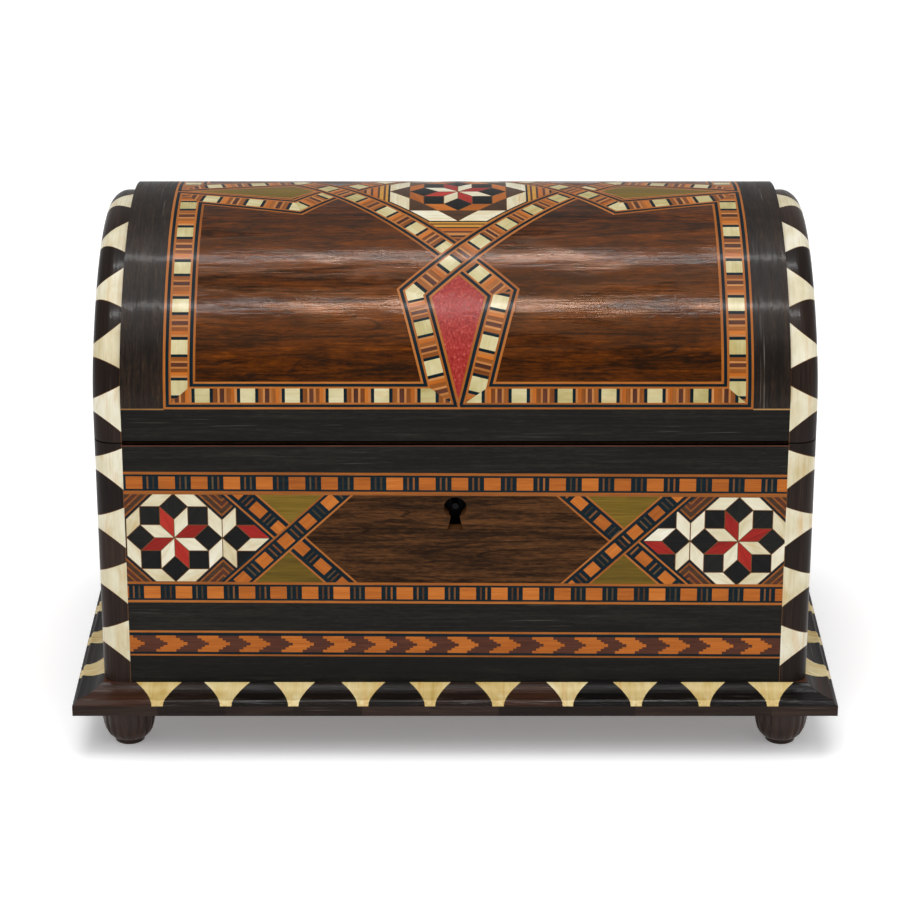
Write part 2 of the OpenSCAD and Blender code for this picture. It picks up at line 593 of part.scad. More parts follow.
foot_front_left();
foot_front_right();
foot_back_left();
foot_back_right();
foot_screws();
plinth_board();
plinth_edge_front();
plinth_edge_back();
plinth_edge_left();
plinth_edge_right();
bottom_board();
front_board();
back_board();
left_board();
right_board();
front_marquetry();
back_marquetry();
left_marquetry();
right_marquetry();
corner_strips();
partition();
cover_cleats();
well_floor_velvet();
well_wall_velvet();
lid_front_rail();
lid_back_rail();
lid_crown_panel();
lid_left_end();
lid_right_end();
lid_marquetry();
lid_end_veneers();
lid_left_strip();
lid_right_strip();
lid_velvet();
hinge_body_leaves();
hinge_pins();
hinge_body_screws();
hinge_lid_leaves();
hinge_lid_screws();
lock_case();
lock_screws();
lock_bolt();
strike_plate();
movement_cover();
cover_velvet();
cover_knob();
bedplate();
comb();
comb_screws();
train_brackets();
barrel_bridge();
movement_screws();
barrel();
mainspring();
winding_arbor();
winding_key();
pinned_cylinder();
governor_wheel();
governor_fan();
stop_rod();
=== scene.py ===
import math
import random

import bpy
import numpy as np
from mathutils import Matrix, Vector
from mathutils.geometry import delaunay_2d_cdt


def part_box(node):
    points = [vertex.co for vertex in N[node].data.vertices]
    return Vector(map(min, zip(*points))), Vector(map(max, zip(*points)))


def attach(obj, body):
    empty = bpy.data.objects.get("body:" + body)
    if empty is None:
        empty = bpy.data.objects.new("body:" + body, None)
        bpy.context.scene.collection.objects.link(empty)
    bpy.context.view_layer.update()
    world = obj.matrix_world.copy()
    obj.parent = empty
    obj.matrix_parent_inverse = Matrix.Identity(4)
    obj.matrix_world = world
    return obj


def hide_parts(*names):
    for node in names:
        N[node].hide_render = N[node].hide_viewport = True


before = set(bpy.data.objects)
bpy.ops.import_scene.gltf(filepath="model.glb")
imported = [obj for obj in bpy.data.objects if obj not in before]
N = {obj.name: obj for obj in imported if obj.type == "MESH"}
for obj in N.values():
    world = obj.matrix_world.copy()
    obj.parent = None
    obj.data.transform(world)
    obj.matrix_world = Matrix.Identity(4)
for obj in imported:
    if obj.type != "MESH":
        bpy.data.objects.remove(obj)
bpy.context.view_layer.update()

MM = 0.001

# ---------------------------------------------------------------- sizes of the case, in millimetres
BODY_X, BODY_Y = 83.3, 50.0
PANEL_X, PANEL_Y = 76.6, 43.3
FOOT_H, BASE_Z, RIM, LID_Z = 12.2, 17.8, 78.4, 78.7
SHEET = 1.5
R1, R2, BAND, DROP = 25.0, 57.0, 8.0, 2.0
YC = BODY_Y - R1
BIG_Z = BAND - math.sqrt((R2 - R1) ** 2 - YC ** 2)
WEDGE = math.atan2(BAND - BIG_Z, YC)
L1 = BAND
L2 = L1 + R1 * WEDGE
L3 = L2 + R2 * (math.pi - 2 * WEDGE)
L4 = L3 + R1 * WEDGE
LT = L4 + BAND
LM = LT / 2


def dome(a, low=0.0):
    """Point (y, z) and outward normal on the dome's section, a millimetres along it from the front seam."""
    if a <= L1:
        return -BODY_Y, RIM - low + a, -1.0, 0.0
    if a <= L2:
        p = (a - L1) / R1
        return -YC - R1 * math.cos(p), RIM - low + BAND + R1 * math.sin(p), -math.cos(p), math.sin(p)
    if a <= L3:
        p = WEDGE + (a - L2) / R2
        return -R2 * math.cos(p), RIM - low + BIG_Z + R2 * math.sin(p), -math.cos(p), math.sin(p)
    if a <= L4:
        p = math.pi - WEDGE + (a - L3) / R1
        return YC - R1 * math.cos(p), RIM - low + BAND + R1 * math.sin(p), -math.cos(p), math.sin(p)
    return BODY_Y, RIM - low + BAND - (a - L4), 1.0, 0.0


def dome_steps(lo, hi):
    """Arc lengths at which the curved sheet is divided."""
    out = [L1, L2, L3, L4]
    for start, end, count in ((L1, L2, 14), (L2, L3, 46), (L3, L4, 14)):
        out += [start + (end - start) * i / count for i in range(1, count)]
    return sorted(a for a in out if lo + 0.05 < a < hi - 0.05)


# ---------------------------------------------------------------- materials
def lin(hexa):
    h = hexa.lstrip("#")
    out = []
    for i in (0, 2, 4):
        c = int(h[i:i + 2], 16) / 255
        out.append(c / 12.92 if c <= 0.04045 else ((c + 0.055) / 1.055) ** 2.4)
    return (*out, 1.0)


class Tree:
    def __init__(self, name):
        self.m = bpy.data.materials.new(name)
        self.m.use_nodes = True
        self.t = self.m.node_tree
        self.t.nodes.clear()
        self.out = self.n("ShaderNodeOutputMaterial")
        self.b = self.n("ShaderNodeBsdfPrincipled")
        self.link(self.b.outputs["BSDF"], self.out.inputs["Surface"])

    def n(self, kind, **props):
        node = self.t.nodes.new(kind)
        for k, v in props.items():
            setattr(node, k, v)
        return node

    def link(self, a, b):
        self.t.links.new(a, b)

    def noise(self, vec, scale, detail=4.0, rough=0.55, warp=0.0):
        n = self.n("ShaderNodeTexNoise")
        n.inputs["Scale"].default_value = scale
        n.inputs["Detail"].default_value = detail
        n.inputs["Roughness"].default_value = rough
        n.inputs["Distortion"].default_value = warp
        self.link(vec, n.inputs["Vector"])
        return n.outputs["Fac"]

    def scaled(self, vec, s, rot=(0, 0, 0)):
        n = self.n("ShaderNodeMapping")
        n.inputs["Scale"].default_value = s
        n.inputs["Rotation"].default_value = rot
        self.link(vec, n.inputs["Vector"])
        return n.outputs["Vector"]

    def math(self, op, a, b=None, clamp=False):
        n = self.n("ShaderNodeMath", operation=op, use_clamp=clamp)
        for i, v in enumerate((a, b)):
            if v is None:
                continue
            if isinstance(v, (int, float)):
                n.inputs[i].default_value = v
            else:
                self.link(v, n.inputs[i])
        return n.outputs[0]

    def ramp(self, fac, stops, mode="LINEAR"):
        n = self.n("ShaderNodeValToRGB")
        n.color_ramp.interpolation = mode
        e = n.color_ramp.elements
        while len(e) < len(stops):
            e.new(0.5)
        for k, (pos, col) in zip(e, stops):
            k.position = pos
            k.color = lin(col)
        self.link(fac, n.inputs["Fac"])
        return n.outputs["Color"]

    def range(self, v, a, b, c, d):
        n = self.n("ShaderNodeMapRange")
        for i, x in zip((1, 2, 3, 4), (a, b, c, d)):
            n.inputs[i].default_value = x
        self.link(v, n.inputs[0])
        return n.outputs[0]

    def mix(self, fac, a, b, blend="MIX"):
        n = self.n("ShaderNodeMix", data_type="RGBA", blend_type=blend)
        if isinstance(fac, (int, float)):
            n.inputs[0].default_value = fac
        else:
            self.link(fac, n.inputs[0])
        for i, v in ((6, a), (7, b)):
            if isinstance(v, str):
                n.inputs[i].default_value = lin(v)
            else:
                self.link(v, n.inputs[i])
        return n.outputs[2]

    def bump(self, height, strength, distance):
        n = self.n("ShaderNodeBump")
        n.inputs["Strength"].default_value = strength
        n.inputs["Distance"].default_value = distance
        self.link(height, n.inputs["Height"])
        self.link(n.outputs["Normal"], self.b.inputs["Normal"])
        return n.outputs["Normal"]

    def coords(self, axis=None):
        """Millimetres with the grain along X: the tile's own on a mosaic, the object's on a CAD piece."""
        if axis is None:
            n = self.n("ShaderNodeAttribute", attribute_name="grain")
            return n.outputs["Vector"]
        n = self.n("ShaderNodeTexCoord")
        rot = {"X": (0, 0, 0), "Y": (0, 0, math.pi / 2), "Z": (0, math.pi / 2, 0)}[axis]
        return self.scaled(n.outputs["Object"], (1000, 1000, 1000), rot)

    def tile(self):
        n = self.n("ShaderNodeAttribute", attribute_name="tile")
        return n.outputs["Fac"]


def wood(name, stops, axis=None, along=0.035, across=0.55, pores=0.35, warp=0.5, vary=0.35, rough=(0.3, 0.45),
         coat=0.08, coat_rough=0.12, bump=0.12, spec=0.09, mottle=0.0, scratch=None, ripple=0.0,
         tint=None, finer=3.6, patches=0.0, swell=(0.045, 0.3, 3.0), speckle=0.0, veins=0.0):
    """Figured wood: long streaks along the grain, fine pores, a shift from tile to tile, and a varnish coat."""
    t = Tree(name)
    v = t.coords(axis)
    streak = t.noise(t.scaled(v, (along, across, across)), 1.0, 5.0, 0.6, warp)
    fine = t.noise(t.scaled(v, (along * 3, across * finer, across * finer)), 1.0, 3.0, 0.6, 0.2)
    f = t.math("ADD", t.math("MULTIPLY", streak, 1.0 - pores), t.math("MULTIPLY", fine, pores))
    if mottle:
        big = t.noise(t.scaled(v, (0.12, 0.12, 0.12)), 1.0, 2.0, 0.5, 0.4)
        f = t.math("ADD", f, t.math("MULTIPLY", t.math("SUBTRACT", big, 0.5), mottle))
    short = None
    if speckle:
        short = t.noise(t.scaled(v, (0.42, 2.3, 2.3)), 1.0, 3.0, 0.65, 0.4)
        f = t.math("ADD", f, t.math("MULTIPLY", t.math("SUBTRACT", short, 0.5), speckle))
    if axis is None:
        f = t.math("ADD", f, t.math("MULTIPLY", t.math("SUBTRACT", t.tile(), 0.5), vary), True)
    col = t.ramp(f, stops)
    if veins:
        # dark figure lines: where a slow wavy field crosses its middle, thinned out by a second field
        wave = t.noise(t.scaled(v, (0.013, 0.11, 0.11)), 1.0, 3.0, 0.5, 1.6)
        near = t.range(t.math("ABSOLUTE", t.math("SUBTRACT", wave, 0.5)), 0.002, 0.022, 1.0, 0.0)
        part = t.noise(t.scaled(v, (0.03, 0.09, 0.09)), 1.0, 2.0, 0.5, 0.6)
        col = t.mix(t.math("MULTIPLY", t.math("MULTIPLY", near, t.range(part, 0.38, 0.52, 0.0, 1.0)), veins), col, "#0b0604")
    if scratch:
        s = t.noise(t.scaled(v, (0.05, 2.6, 2.6)), 1.0, 2.0, 0.55, 0.15)
        gate = t.noise(t.scaled(v, (0.05, 0.12, 0.12)), 1.0, 2.0, 0.6, 0.3)
        line = t.math("MULTIPLY", t.range(s, 0.64, 0.72, 0.0, 1.0), t.range(gate, 0.5, 0.7, 0.0, 1.0))
        col = t.mix(t.math("MULTIPLY", line, scratch[0]), col, scratch[1])
    t.link(col, t.b.inputs["Base Color"])
    r = t.range(fine, 0.3, 0.7, rough[0], rough[1])
    if patches:
        dull = t.noise(t.scaled(v, (0.03, 0.16, 0.16)), 1.0, 2.0, 0.55, 0.5)
        r = t.math("ADD", r, t.range(dull, 0.42, 0.54, 0.0, patches))
    t.link(r, t.b.inputs["Roughness"])
    t.b.inputs["Specular IOR Level"].default_value = spec
    if tint:
        t.b.inputs["Specular Tint"].default_value = lin(tint)
    t.b.inputs["Coat Weight"].default_value = coat
    t.b.inputs["Coat Roughness"].default_value = coat_rough
    if bump:
        h = t.math("ADD", fine, t.math("MULTIPLY", streak, 0.4))
        if speckle:
            h = t.math("ADD", h, t.math("MULTIPLY", short, 0.5))
        if ripple:
            h = t.math("ADD", h, t.math("MULTIPLY", t.noise(t.scaled(v, (swell[0], swell[1], swell[1])), 1.0, swell[2], 0.6, 0.4), ripple))
        nrm = t.bump(h, bump, 0.0002)
        t.link(nrm, t.b.inputs["Coat Normal"])
    return t.m


def bone(name, stops, rough=(0.22, 0.36), coat=0.2, vary=0.3, stain=0.5):
    """Bone: cream with a yellow shift from piece to piece, faint long fibres, brown-yellow stains and small dark pores."""
    t = Tree(name)
    v = t.coords(None)
    fibre = t.noise(t.scaled(v, (0.05, 1.3, 1.3)), 1.0, 4.0, 0.6, 0.3)
    cloud = t.noise(t.scaled(v, (0.16, 0.3, 0.3)), 1.0, 2.0, 0.5, 0.5)
    f = t.math("ADD", t.math("MULTIPLY", fibre, 0.3), t.math("MULTIPLY", cloud, 0.7))
    f = t.math("ADD", f, t.math("MULTIPLY", t.math("SUBTRACT", t.tile(), 0.5), vary), True)
    col = t.ramp(f, stops)
    mark = t.noise(t.scaled(v, (0.07, 0.5, 0.5)), 1.0, 3.0, 0.6, 0.6)
    col = t.mix(t.math("MULTIPLY", t.range(mark, 0.54, 0.74, 0.0, 1.0), stain), col, "#c08d3a")
    pore = t.noise(t.scaled(v, (0.9, 5.5, 5.5)), 1.0, 2.0, 0.5, 0.1)
    col = t.mix(t.math("MULTIPLY", t.range(pore, 0.68, 0.76, 0.0, 1.0), 0.4), col, "#8f6a35")
    t.link(col, t.b.inputs["Base Color"])
    t.link(t.range(fibre, 0.3, 0.7, rough[0], rough[1]), t.b.inputs["Roughness"])
    t.b.inputs["Specular IOR Level"].default_value = 0.2
    t.b.inputs["Coat Weight"].default_value = coat * 0.6
    t.b.inputs["Coat Roughness"].default_value = 0.12
    t.bump(t.math("ADD", fibre, t.math("MULTIPLY", cloud, 3.0)), 0.08, 0.0002)
    return t.m


def metal(name, cols, rough=(0.18, 0.34), brushed=0.4, axis="X", tarnish=0.5):
    t = Tree(name)
    v = t.coords(axis)
    brush = t.noise(t.scaled(v, (0.15, 4.0, 4.0)), 1.0, 3.0, 0.6)
    cloud = t.noise(t.scaled(v, (0.35, 0.35, 0.35)), 1.0, 4.0, 0.6, 0.5)
    f = t.math("ADD", t.math("MULTIPLY", brush, brushed), t.math("MULTIPLY", cloud, 1 - brushed))
    col = t.ramp(f, [(0.25, cols[0]), (0.5, cols[1]), (0.75, cols[2])])
    t.link(col, t.b.inputs["Base Color"])
    t.b.inputs["Metallic"].default_value = 1.0
    t.link(t.range(t.math("ADD", t.math("MULTIPLY", cloud, tarnish), t.math("MULTIPLY", brush, 1 - tarnish)), 0.3, 0.7, rough[0], rough[1]),
           t.b.inputs["Roughness"])
    t.bump(brush, 0.05, 0.0001)
    return t.m


def cloth(name, dark, mid, light):
    """Velvet: fine pile in tufts, crushed patches, and a sheen at the edges."""
    t = Tree(name)
    v = t.coords("X")
    pile = t.noise(t.scaled(v, (3.2, 3.2, 3.2)), 1.0, 3.0, 0.7)
    crush = t.noise(t.scaled(v, (0.07, 0.09, 0.08)), 1.0, 4.0, 0.6, 1.2)
    f = t.math("ADD", t.math("MULTIPLY", pile, 0.45), t.math("MULTIPLY", crush, 0.55))
    col = t.ramp(f, [(0.28, dark), (0.5, mid), (0.74, light)])
    t.link(col, t.b.inputs["Base Color"])
    t.b.inputs["Roughness"].default_value = 0.9
    t.b.inputs["Specular IOR Level"].default_value = 0.15
    t.b.inputs["Sheen Weight"].default_value = 0.8
    t.b.inputs["Sheen Roughness"].default_value = 0.35
    t.b.inputs["Sheen Tint"].default_value = lin("#e08080")
    t.bump(t.math("ADD", pile, t.math("MULTIPLY", crush, 1.5)), 0.35, 0.0004)
    return t.m


M = {}
M["ebony"] = wood("inlay_ebony", [(0.25, "#0a0a08"), (0.5, "#141310"), (0.75, "#24221d")], along=0.02, across=0.5,
                  pores=0.5, bump=0.12, vary=0.1, ripple=3.0, scratch=(0.5, "#5a584e"), spec=0.06, coat=0.06, speckle=0.5)
M["band"] = wood("inlay_side_band", [(0.2, "#0c0806"), (0.45, "#18110c"), (0.62, "#281c13"), (0.8, "#3f2f21")], along=0.02,
                 across=0.42, pores=0.5, mottle=0.5, bump=0.15, vary=0.1, scratch=(0.5, "#857e75"), ripple=6.0, spec=0.12, coat=0.05, rough=(0.36, 0.52),
                 speckle=0.6)
M["rosewood"] = wood("inlay_rosewood", [(0.25, "#0a0402"), (0.37, "#1d0c02"), (0.46, "#351602"), (0.6, "#4f2402"), (0.8, "#7a3c05")],
                     along=0.02, across=0.24, pores=0.4, warp=1.6, bump=0.12, vary=0.15, rough=(0.15, 0.24), ripple=9.0, spec=0.22,
                     coat=0.09, tint="#ffb27c", mottle=0.25, coat_rough=0.08, finer=6.0, patches=0.3, swell=(0.035, 0.13, 1.0),
                     speckle=0.5, veins=0.85)
M["rosedark"] = wood("inlay_rosewood_dark", [(0.28, "#0f0906"), (0.4, "#28180c"), (0.5, "#442a16"), (0.62, "#5b391e"), (0.8, "#7d512e")],
                     along=0.016, across=0.24, pores=0.4, warp=1.4, bump=0.2, vary=0.15, spec=0.1, coat=0.05, tint="#ffb985", finer=6.0,
                     speckle=0.45, veins=0.8)
M["orange"] = wood("inlay_satinwood", [(0.2, "#824311"), (0.42, "#a05619"), (0.6, "#b16321"), (0.82, "#c27431")],
                   along=0.05, across=0.9, pores=0.5, vary=0.3, bump=0.08)
M["line"] = wood("inlay_orange_line", [(0.2, "#774012"), (0.5, "#99571e"), (0.8, "#ad6c33")], along=0.05, across=0.9,
                 pores=0.5, vary=0.3, bump=0.05)
M["umber"] = wood("inlay_umber", [(0.2, "#5a2e10"), (0.5, "#7d4518"), (0.8, "#9a5c27")], along=0.05, across=0.9, pores=0.5,
                  vary=0.4, bump=0.06)
M["brown"] = wood("inlay_brown", [(0.2, "#32180e"), (0.5, "#4a2719"), (0.8, "#623724")], along=0.06, across=1.0, pores=0.6,
                  vary=0.3, bump=0.06)
M["choc"] = wood("inlay_chocolate", [(0.2, "#28190f"), (0.5, "#3e2818"), (0.8, "#573a23")], along=0.06, across=1.1, pores=0.65,
                 vary=0.3, bump=0.08)
M["tan"] = wood("inlay_tan", [(0.2, "#6b4a26"), (0.5, "#8a6437"), (0.8, "#a67f50")], along=0.05, across=0.9, pores=0.5,
                vary=0.5, bump=0.04)
M["light"] = wood("inlay_light_line", [(0.2, "#8c5426"), (0.5, "#a86c38"), (0.8, "#bd8550")], along=0.05, across=0.9,
                  pores=0.4, vary=0.3, bump=0.04)
M["dim"] = wood("inlay_dim_line", [(0.2, "#291f15"), (0.5, "#3f3020"), (0.8, "#56422b")], along=0.05, across=0.9,
                pores=0.5, vary=0.6, bump=0.04)
M["bar"] = wood("inlay_brown_line", [(0.2, "#40240f"), (0.5, "#5f391b"), (0.8, "#7d4f29")], along=0.05, across=0.9,
                pores=0.5, vary=0.5, bump=0.04)
M["gold"] = wood("inlay_gold", [(0.2, "#96641c"), (0.5, "#b5812f"), (0.8, "#c79a4a")], along=0.05, across=0.9, pores=0.5,
                 vary=0.4, bump=0.05)
M["olive"] = wood("inlay_olive", [(0.2, "#46350a"), (0.5, "#65500f"), (0.8, "#866a22")], along=0.04, across=0.8, pores=0.5,
                  vary=0.2, bump=0.08)
M["black"] = wood("inlay_black_line", [(0.2, "#050d10"), (0.5, "#0a1a20"), (0.8, "#132831")], along=0.05, across=0.9,
                  pores=0.5, vary=0.1, bump=0.03, spec=0.05, coat=0.04)
M["square"] = wood("inlay_black_tile", [(0.2, "#0a0b0b"), (0.5, "#131413"), (0.8, "#22211f")], along=0.05, across=0.9,
                   pores=0.6, vary=0.25, bump=0.06, spec=0.06, coat=0.05)
M["red"] = wood("inlay_red", [(0.2, "#73110d"), (0.5, "#961f16"), (0.8, "#ad3224")], along=0.05, across=0.9, pores=0.5,
                vary=0.35, bump=0.06)
M["kite"] = wood("inlay_red_fibre", [(0.25, "#5f0f0f"), (0.42, "#86211d"), (0.58, "#9c332c"), (0.78, "#c4705f")], along=0.45,
                 across=0.5, pores=0.8, warp=0.8, vary=0.1, bump=0.3)
M["bone"] = bone("inlay_bone", [(0.2, "#b9aa80"), (0.42, "#cac0a0"), (0.62, "#d6cfb6"), (0.85, "#e1dccc")])
M["bonelid"] = bone("inlay_bone_lid", [(0.2, "#9e9056"), (0.42, "#b1a573"), (0.62, "#bfb488"), (0.85, "#cfc7a3")], vary=0.4, stain=0.3)
M["bonegold"] = bone("inlay_bone_yellow", [(0.2, "#b0924c"), (0.42, "#c6ad70"), (0.62, "#d3c18e"), (0.85, "#dfd2ac")])
# painted seam shade: a near-black, unreflecting finish laid on the rounded edges at the lid seam, a painted shadow
# standing in for the shade of the gap
M["void"] = wood("seam_shadow", [(0.3, "#020202"), (0.7, "#050404")], pores=0.5, bump=0.0, coat=0.0, spec=0.0, rough=(0.8, 0.9))
M["glue"] = wood("inlay_glue_line", [(0.2, "#3a2410"), (0.5, "#5f3b1c"), (0.8, "#80562d")], along=0.08, across=0.9, pores=0.5,
                 vary=0.1, bump=0.03)
M["core"] = wood("sheet_core", [(0.2, "#3b2415"), (0.5, "#5d3b22"), (0.8, "#7a5332")], along=0.04, across=0.8, pores=0.5,
                 vary=0.1, bump=0.08, coat=0.0)
M["edge"] = wood("edge_rosewood", [(0.2, "#0b0908"), (0.5, "#120e0c"), (0.68, "#1d130e"), (0.9, "#3a2216")], along=0.02,
                 across=0.6, pores=0.45, warp=0.8, vary=0.8, bump=0.2, spec=0.12, coat=0.08, ripple=3.0, scratch=(0.45, "#8d857c"))
M["stripdark"] = wood("strip_ebony", [(0.2, "#120d0b"), (0.5, "#211814"), (0.8, "#382a23")], along=0.03, across=0.7,
                      pores=0.5, vary=0.35, bump=0.12, ripple=4.0, scratch=(0.3, "#6f645a"), spec=0.06, coat=0.06)

# ---------------------------------------------------------------- mosaics
rnd = random.Random(20)


def area2(p):
    return sum(p[i - 1][0] * p[i][1] - p[i][0] * p[i - 1][1] for i in range(len(p)))


def clip(poly, convex):
    """The part of a convex polygon inside another one."""
    if area2(convex) < 0:
        convex = convex[::-1]
    out = list(poly)
    for i in range(len(convex)):
        (ax, ay), (bx, by) = convex[i - 1], convex[i]
        side = [(bx - ax) * (y - ay) - (by - ay) * (x - ax) for x, y in out]
        new = []
        for k in range(len(out)):
            p, q, sp, sq = out[k - 1], out[k], side[k - 1], side[k]
            if (sp < 0) != (sq < 0):
                t = sp / (sp - sq)
                new.append((p[0] + (q[0] - p[0]) * t, p[1] + (q[1] - p[1]) * t))
            if sq >= 0:
                new.append(q)
        out = new
        if len(out) < 3:
            return []
    return out if abs(area2(out)) > 0.004 else []


class Layout:
    """Polygons in the plane of a sheet, the first one added on top, each cut from one wood."""

    def __init__(self, skew=0.0):
        self.items = []
        self.skew = skew

    def add(self, mat, pts, ang=0.0, tile=None, skew=True):
        pts = [(x, y - (self.skew * x if skew else 0.0)) for x, y in pts]
        if len(pts) < 3 or abs(area2(pts)) < 0.004:
            return
        if area2(pts) < 0:
            pts = pts[::-1]
        self.items.append((mat, pts, ang, rnd.random() if tile is None else tile,
                           (rnd.uniform(0, 400), rnd.uniform(0, 400), rnd.uniform(0, 400))))

    def rect(self, mat, x0, x1, y0, y1, ang=0.0, tile=None, skew=True):
        self.add(mat, [(x0, y0), (x1, y0), (x1, y1), (x0, y1)], ang, tile, skew)

    def lines(self, across, x0, x1, y):
        """Rows that follow one another along +Y: (wood, width)."""
        for mat, w in across:
            self.rect(mat, x0, x1, y, y + w)
            y += w
        return y


def build(lay, cuts, outline):
    """Divides the outline into the layout's tiles: (2D points, triangles, the tile of each triangle)."""
    vs, es, fs = [], [], []
    for mat, pts, *_ in lay.items:
        n = len(vs)
        vs += [Vector(p) for p in pts]
        fs.append(list(range(n, n + len(pts))))
    n = len(vs)
    vs += [Vector(p) for p in outline]
    fs.append(list(range(n, n + len(outline))))
    for p, q in cuts:
        n = len(vs)
        vs += [Vector(p), Vector(q)]
        es.append((n, n + 1))
    v, _, f, *_ = delaunay_2d_cdt(vs, es, fs, 1, 1e-4)
    P = np.array([(p.x, p.y) for p in v])
    T = np.array([t for t in f if len(t) == 3])
    c = P[T].mean(axis=1)

    def inside(poly, pick):
        x, y = c[pick, 0], c[pick, 1]
        odd = np.zeros(len(x), bool)
        for i in range(len(poly)):
            (ax, ay), (bx, by) = poly[i - 1], poly[i]
            if ay == by:
                continue
            cross = (ay > y) != (by > y)
            odd ^= cross & (x < (bx - ax) * (y - ay) / (by - ay) + ax)
        return odd

    owner = np.full(len(T), -1)
    everywhere = np.arange(len(T))
    inn = inside(outline, everywhere)
    for k in range(len(lay.items) - 1, -1, -1):
        poly = lay.items[k][1]
        a = np.array(poly)
        near = np.nonzero((c[:, 0] > a[:, 0].min()) & (c[:, 0] < a[:, 0].max())
                          & (c[:, 1] > a[:, 1].min()) & (c[:, 1] < a[:, 1].max()))[0]
        if len(near):
            owner[near[inside(poly, near)]] = k
    e1, e2 = P[T[:, 1]] - P[T[:, 0]], P[T[:, 2]] - P[T[:, 0]]
    size = np.abs(e1[:, 0] * e2[:, 1] - e1[:, 1] * e2[:, 0])
    ok = inn & (owner >= 0) & (size > 1e-7)
    ok[ok] = np.array([lay.items[k][0] is not None for k in owner[ok]])
    return P, T[ok], owner[ok]


def plate(name, body, lay, outline, top, under, normal, cuts=(), replaces=(), core="core"):
    """A closed sheet with the layout on its face: top and under give the 3D points of its face and back, in millimetres."""
    P, T, owner = build(lay, cuts, outline)
    used = np.unique(T)
    index = np.full(len(P), -1)
    index[used] = np.arange(len(used))
    P = P[used]
    T = index[T]
    up = [top(x, y) for x, y in P]
    dn = [under(x, y) for x, y in P]
    n = len(P)
    flip = []
    for t in T:
        (x0, y0), (x1, y1), (x2, y2) = P[t]
        flip.append((x1 - x0) * (y2 - y0) - (x2 - x0) * (y1 - y0) < 0)
    T = np.array([t[::-1] if f else t for t, f in zip(T, flip)])
    # a mirrored mapping turns the sheet over
    facing = 0.0
    for t in T[::max(1, len(T) // 300)]:
        p = [Vector(up[i]) for i in t]
        facing += (p[1] - p[0]).cross(p[2] - p[0]).dot(Vector(normal(*P[t[0]])))
    if facing < 0:
        T = T[:, ::-1]
    edges = {}
    for t in T:
        for i in range(3):
            a, b = int(t[i]), int(t[(i + 1) % 3])
            edges[(a, b)] = edges.get((a, b), 0) + 1
    rim_edges = [e for e in edges if (e[1], e[0]) not in edges]
    faces = [tuple(int(i) for i in t) for t in T]
    faces += [tuple(int(i) + n for i in t[::-1]) for t in T]
    faces += [(b, a, a + n, b + n) for a, b in rim_edges]
    me = bpy.data.meshes.new(name)
    me.from_pydata([tuple(c * MM for c in p) for p in up + dn], [], faces)
    names = sorted({lay.items[k][0] for k in owner}) + [core]
    for m in names:
        me.materials.append(M[m])
    where = {m: i for i, m in enumerate(names)}
    mats = [where[lay.items[k][0]] for k in owner] + [where[core]] * (len(faces) - len(T))
    me.polygons.foreach_set("material_index", mats)
    # grain coordinates, tile number and the sheet's own flat map
    lo, hi = P.min(0), P.max(0)
    span = hi - lo
    grain = me.attributes.new("grain", "FLOAT_VECTOR", "CORNER")
    tile = me.attributes.new("tile", "FLOAT", "FACE")
    flat = me.uv_layers.new(name="OFBake")
    loops = len(me.loops)
    g = np.zeros((loops, 3), np.float32)
    uv = np.zeros((loops, 2), np.float32)
    nrm = np.zeros((loops, 3), np.float32)
    tl = np.zeros(len(faces), np.float32)
    k = 0
    normals = [Vector(normal(x, y)) for x, y in P]
    for fi, f in enumerate(faces):
        if fi < len(T):
            mat, _, ang, seed, (ox, oy, oz) = lay.items[owner[fi]]
            ca, sa = math.cos(ang), math.sin(ang)
            tl[fi] = seed
            for i in f:
                x, y = P[i]
                g[k] = (x * ca + y * sa + ox, -x * sa + y * ca + oy, oz)
                uv[k] = ((x - lo[0]) / span[0], 0.14 + 0.86 * (y - lo[1]) / span[1])
                nrm[k] = normals[i]
                k += 1
        elif fi < 2 * len(T):
            for i in f:
                x, y = P[i - n]
                g[k] = (x, y, 3.0)
                uv[k] = ((x - lo[0]) / span[0], 0.04 + 0.08 * (y - lo[1]) / span[1])
                nrm[k] = -normals[i - n]
                k += 1
        else:
            q = fi - 2 * len(T)
            c0, c1 = q / len(rim_edges), (q + 0.9) / len(rim_edges)
            p = [Vector((up + dn)[i]) for i in f]
            fn = (p[1] - p[0]).cross(p[2] - p[0])
            fn = fn.normalized() if fn.length > 1e-9 else Vector((0, 0, 1))
            for j, i in enumerate(f):
                x, y, z = (up + dn)[i]
                g[k] = (x + y, z, 7.0)
                uv[k] = (c1 if j in (0, 3) else c0, 0.0 if j < 2 else 0.03)
                nrm[k] = fn
                k += 1
    grain.data.foreach_set("vector", g.ravel())
    tile.data.foreach_set("value", tl)
    flat.data.foreach_set("uv", uv.ravel())
    me.polygons.foreach_set("use_smooth", [True] * len(faces))
    me.normals_split_custom_set([tuple(v) for v in nrm])
    me.update()
    ob = bpy.data.objects.new(name, me)
    bpy.context.scene.collection.objects.link(ob)
    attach(ob, body)
    if replaces:
        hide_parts(*replaces)
    return ob


def turn(p, deg):
    a = math.radians(deg)
    return p[0] * math.cos(a) - p[1] * math.sin(a), p[0] * math.sin(a) + p[1] * math.cos(a)


def polar(r, deg):
    return r * math.cos(math.radians(deg)), r * math.sin(math.radians(deg))


def shrunk(pts, by):
    """A convex polygon with each side moved in."""
    if area2(pts) < 0:
        pts = pts[::-1]
    n, out = len(pts), []
    off = []
    for i in range(n):
        (ax, ay), (bx, by_) = pts[i], pts[(i + 1) % n]
        dx, dy = bx - ax, by_ - ay
        l = math.hypot(dx, dy)
        nx, ny = -dy / l, dx / l
        off.append((nx, ny, nx * ax + ny * ay + by))
    for i in range(n):
        (a, b, c), (d, e, f) = off[i - 1], off[i]
        det = a * e - b * d
        out.append(((c * e - b * f) / det, (a * f - c * d) / det))
    return out


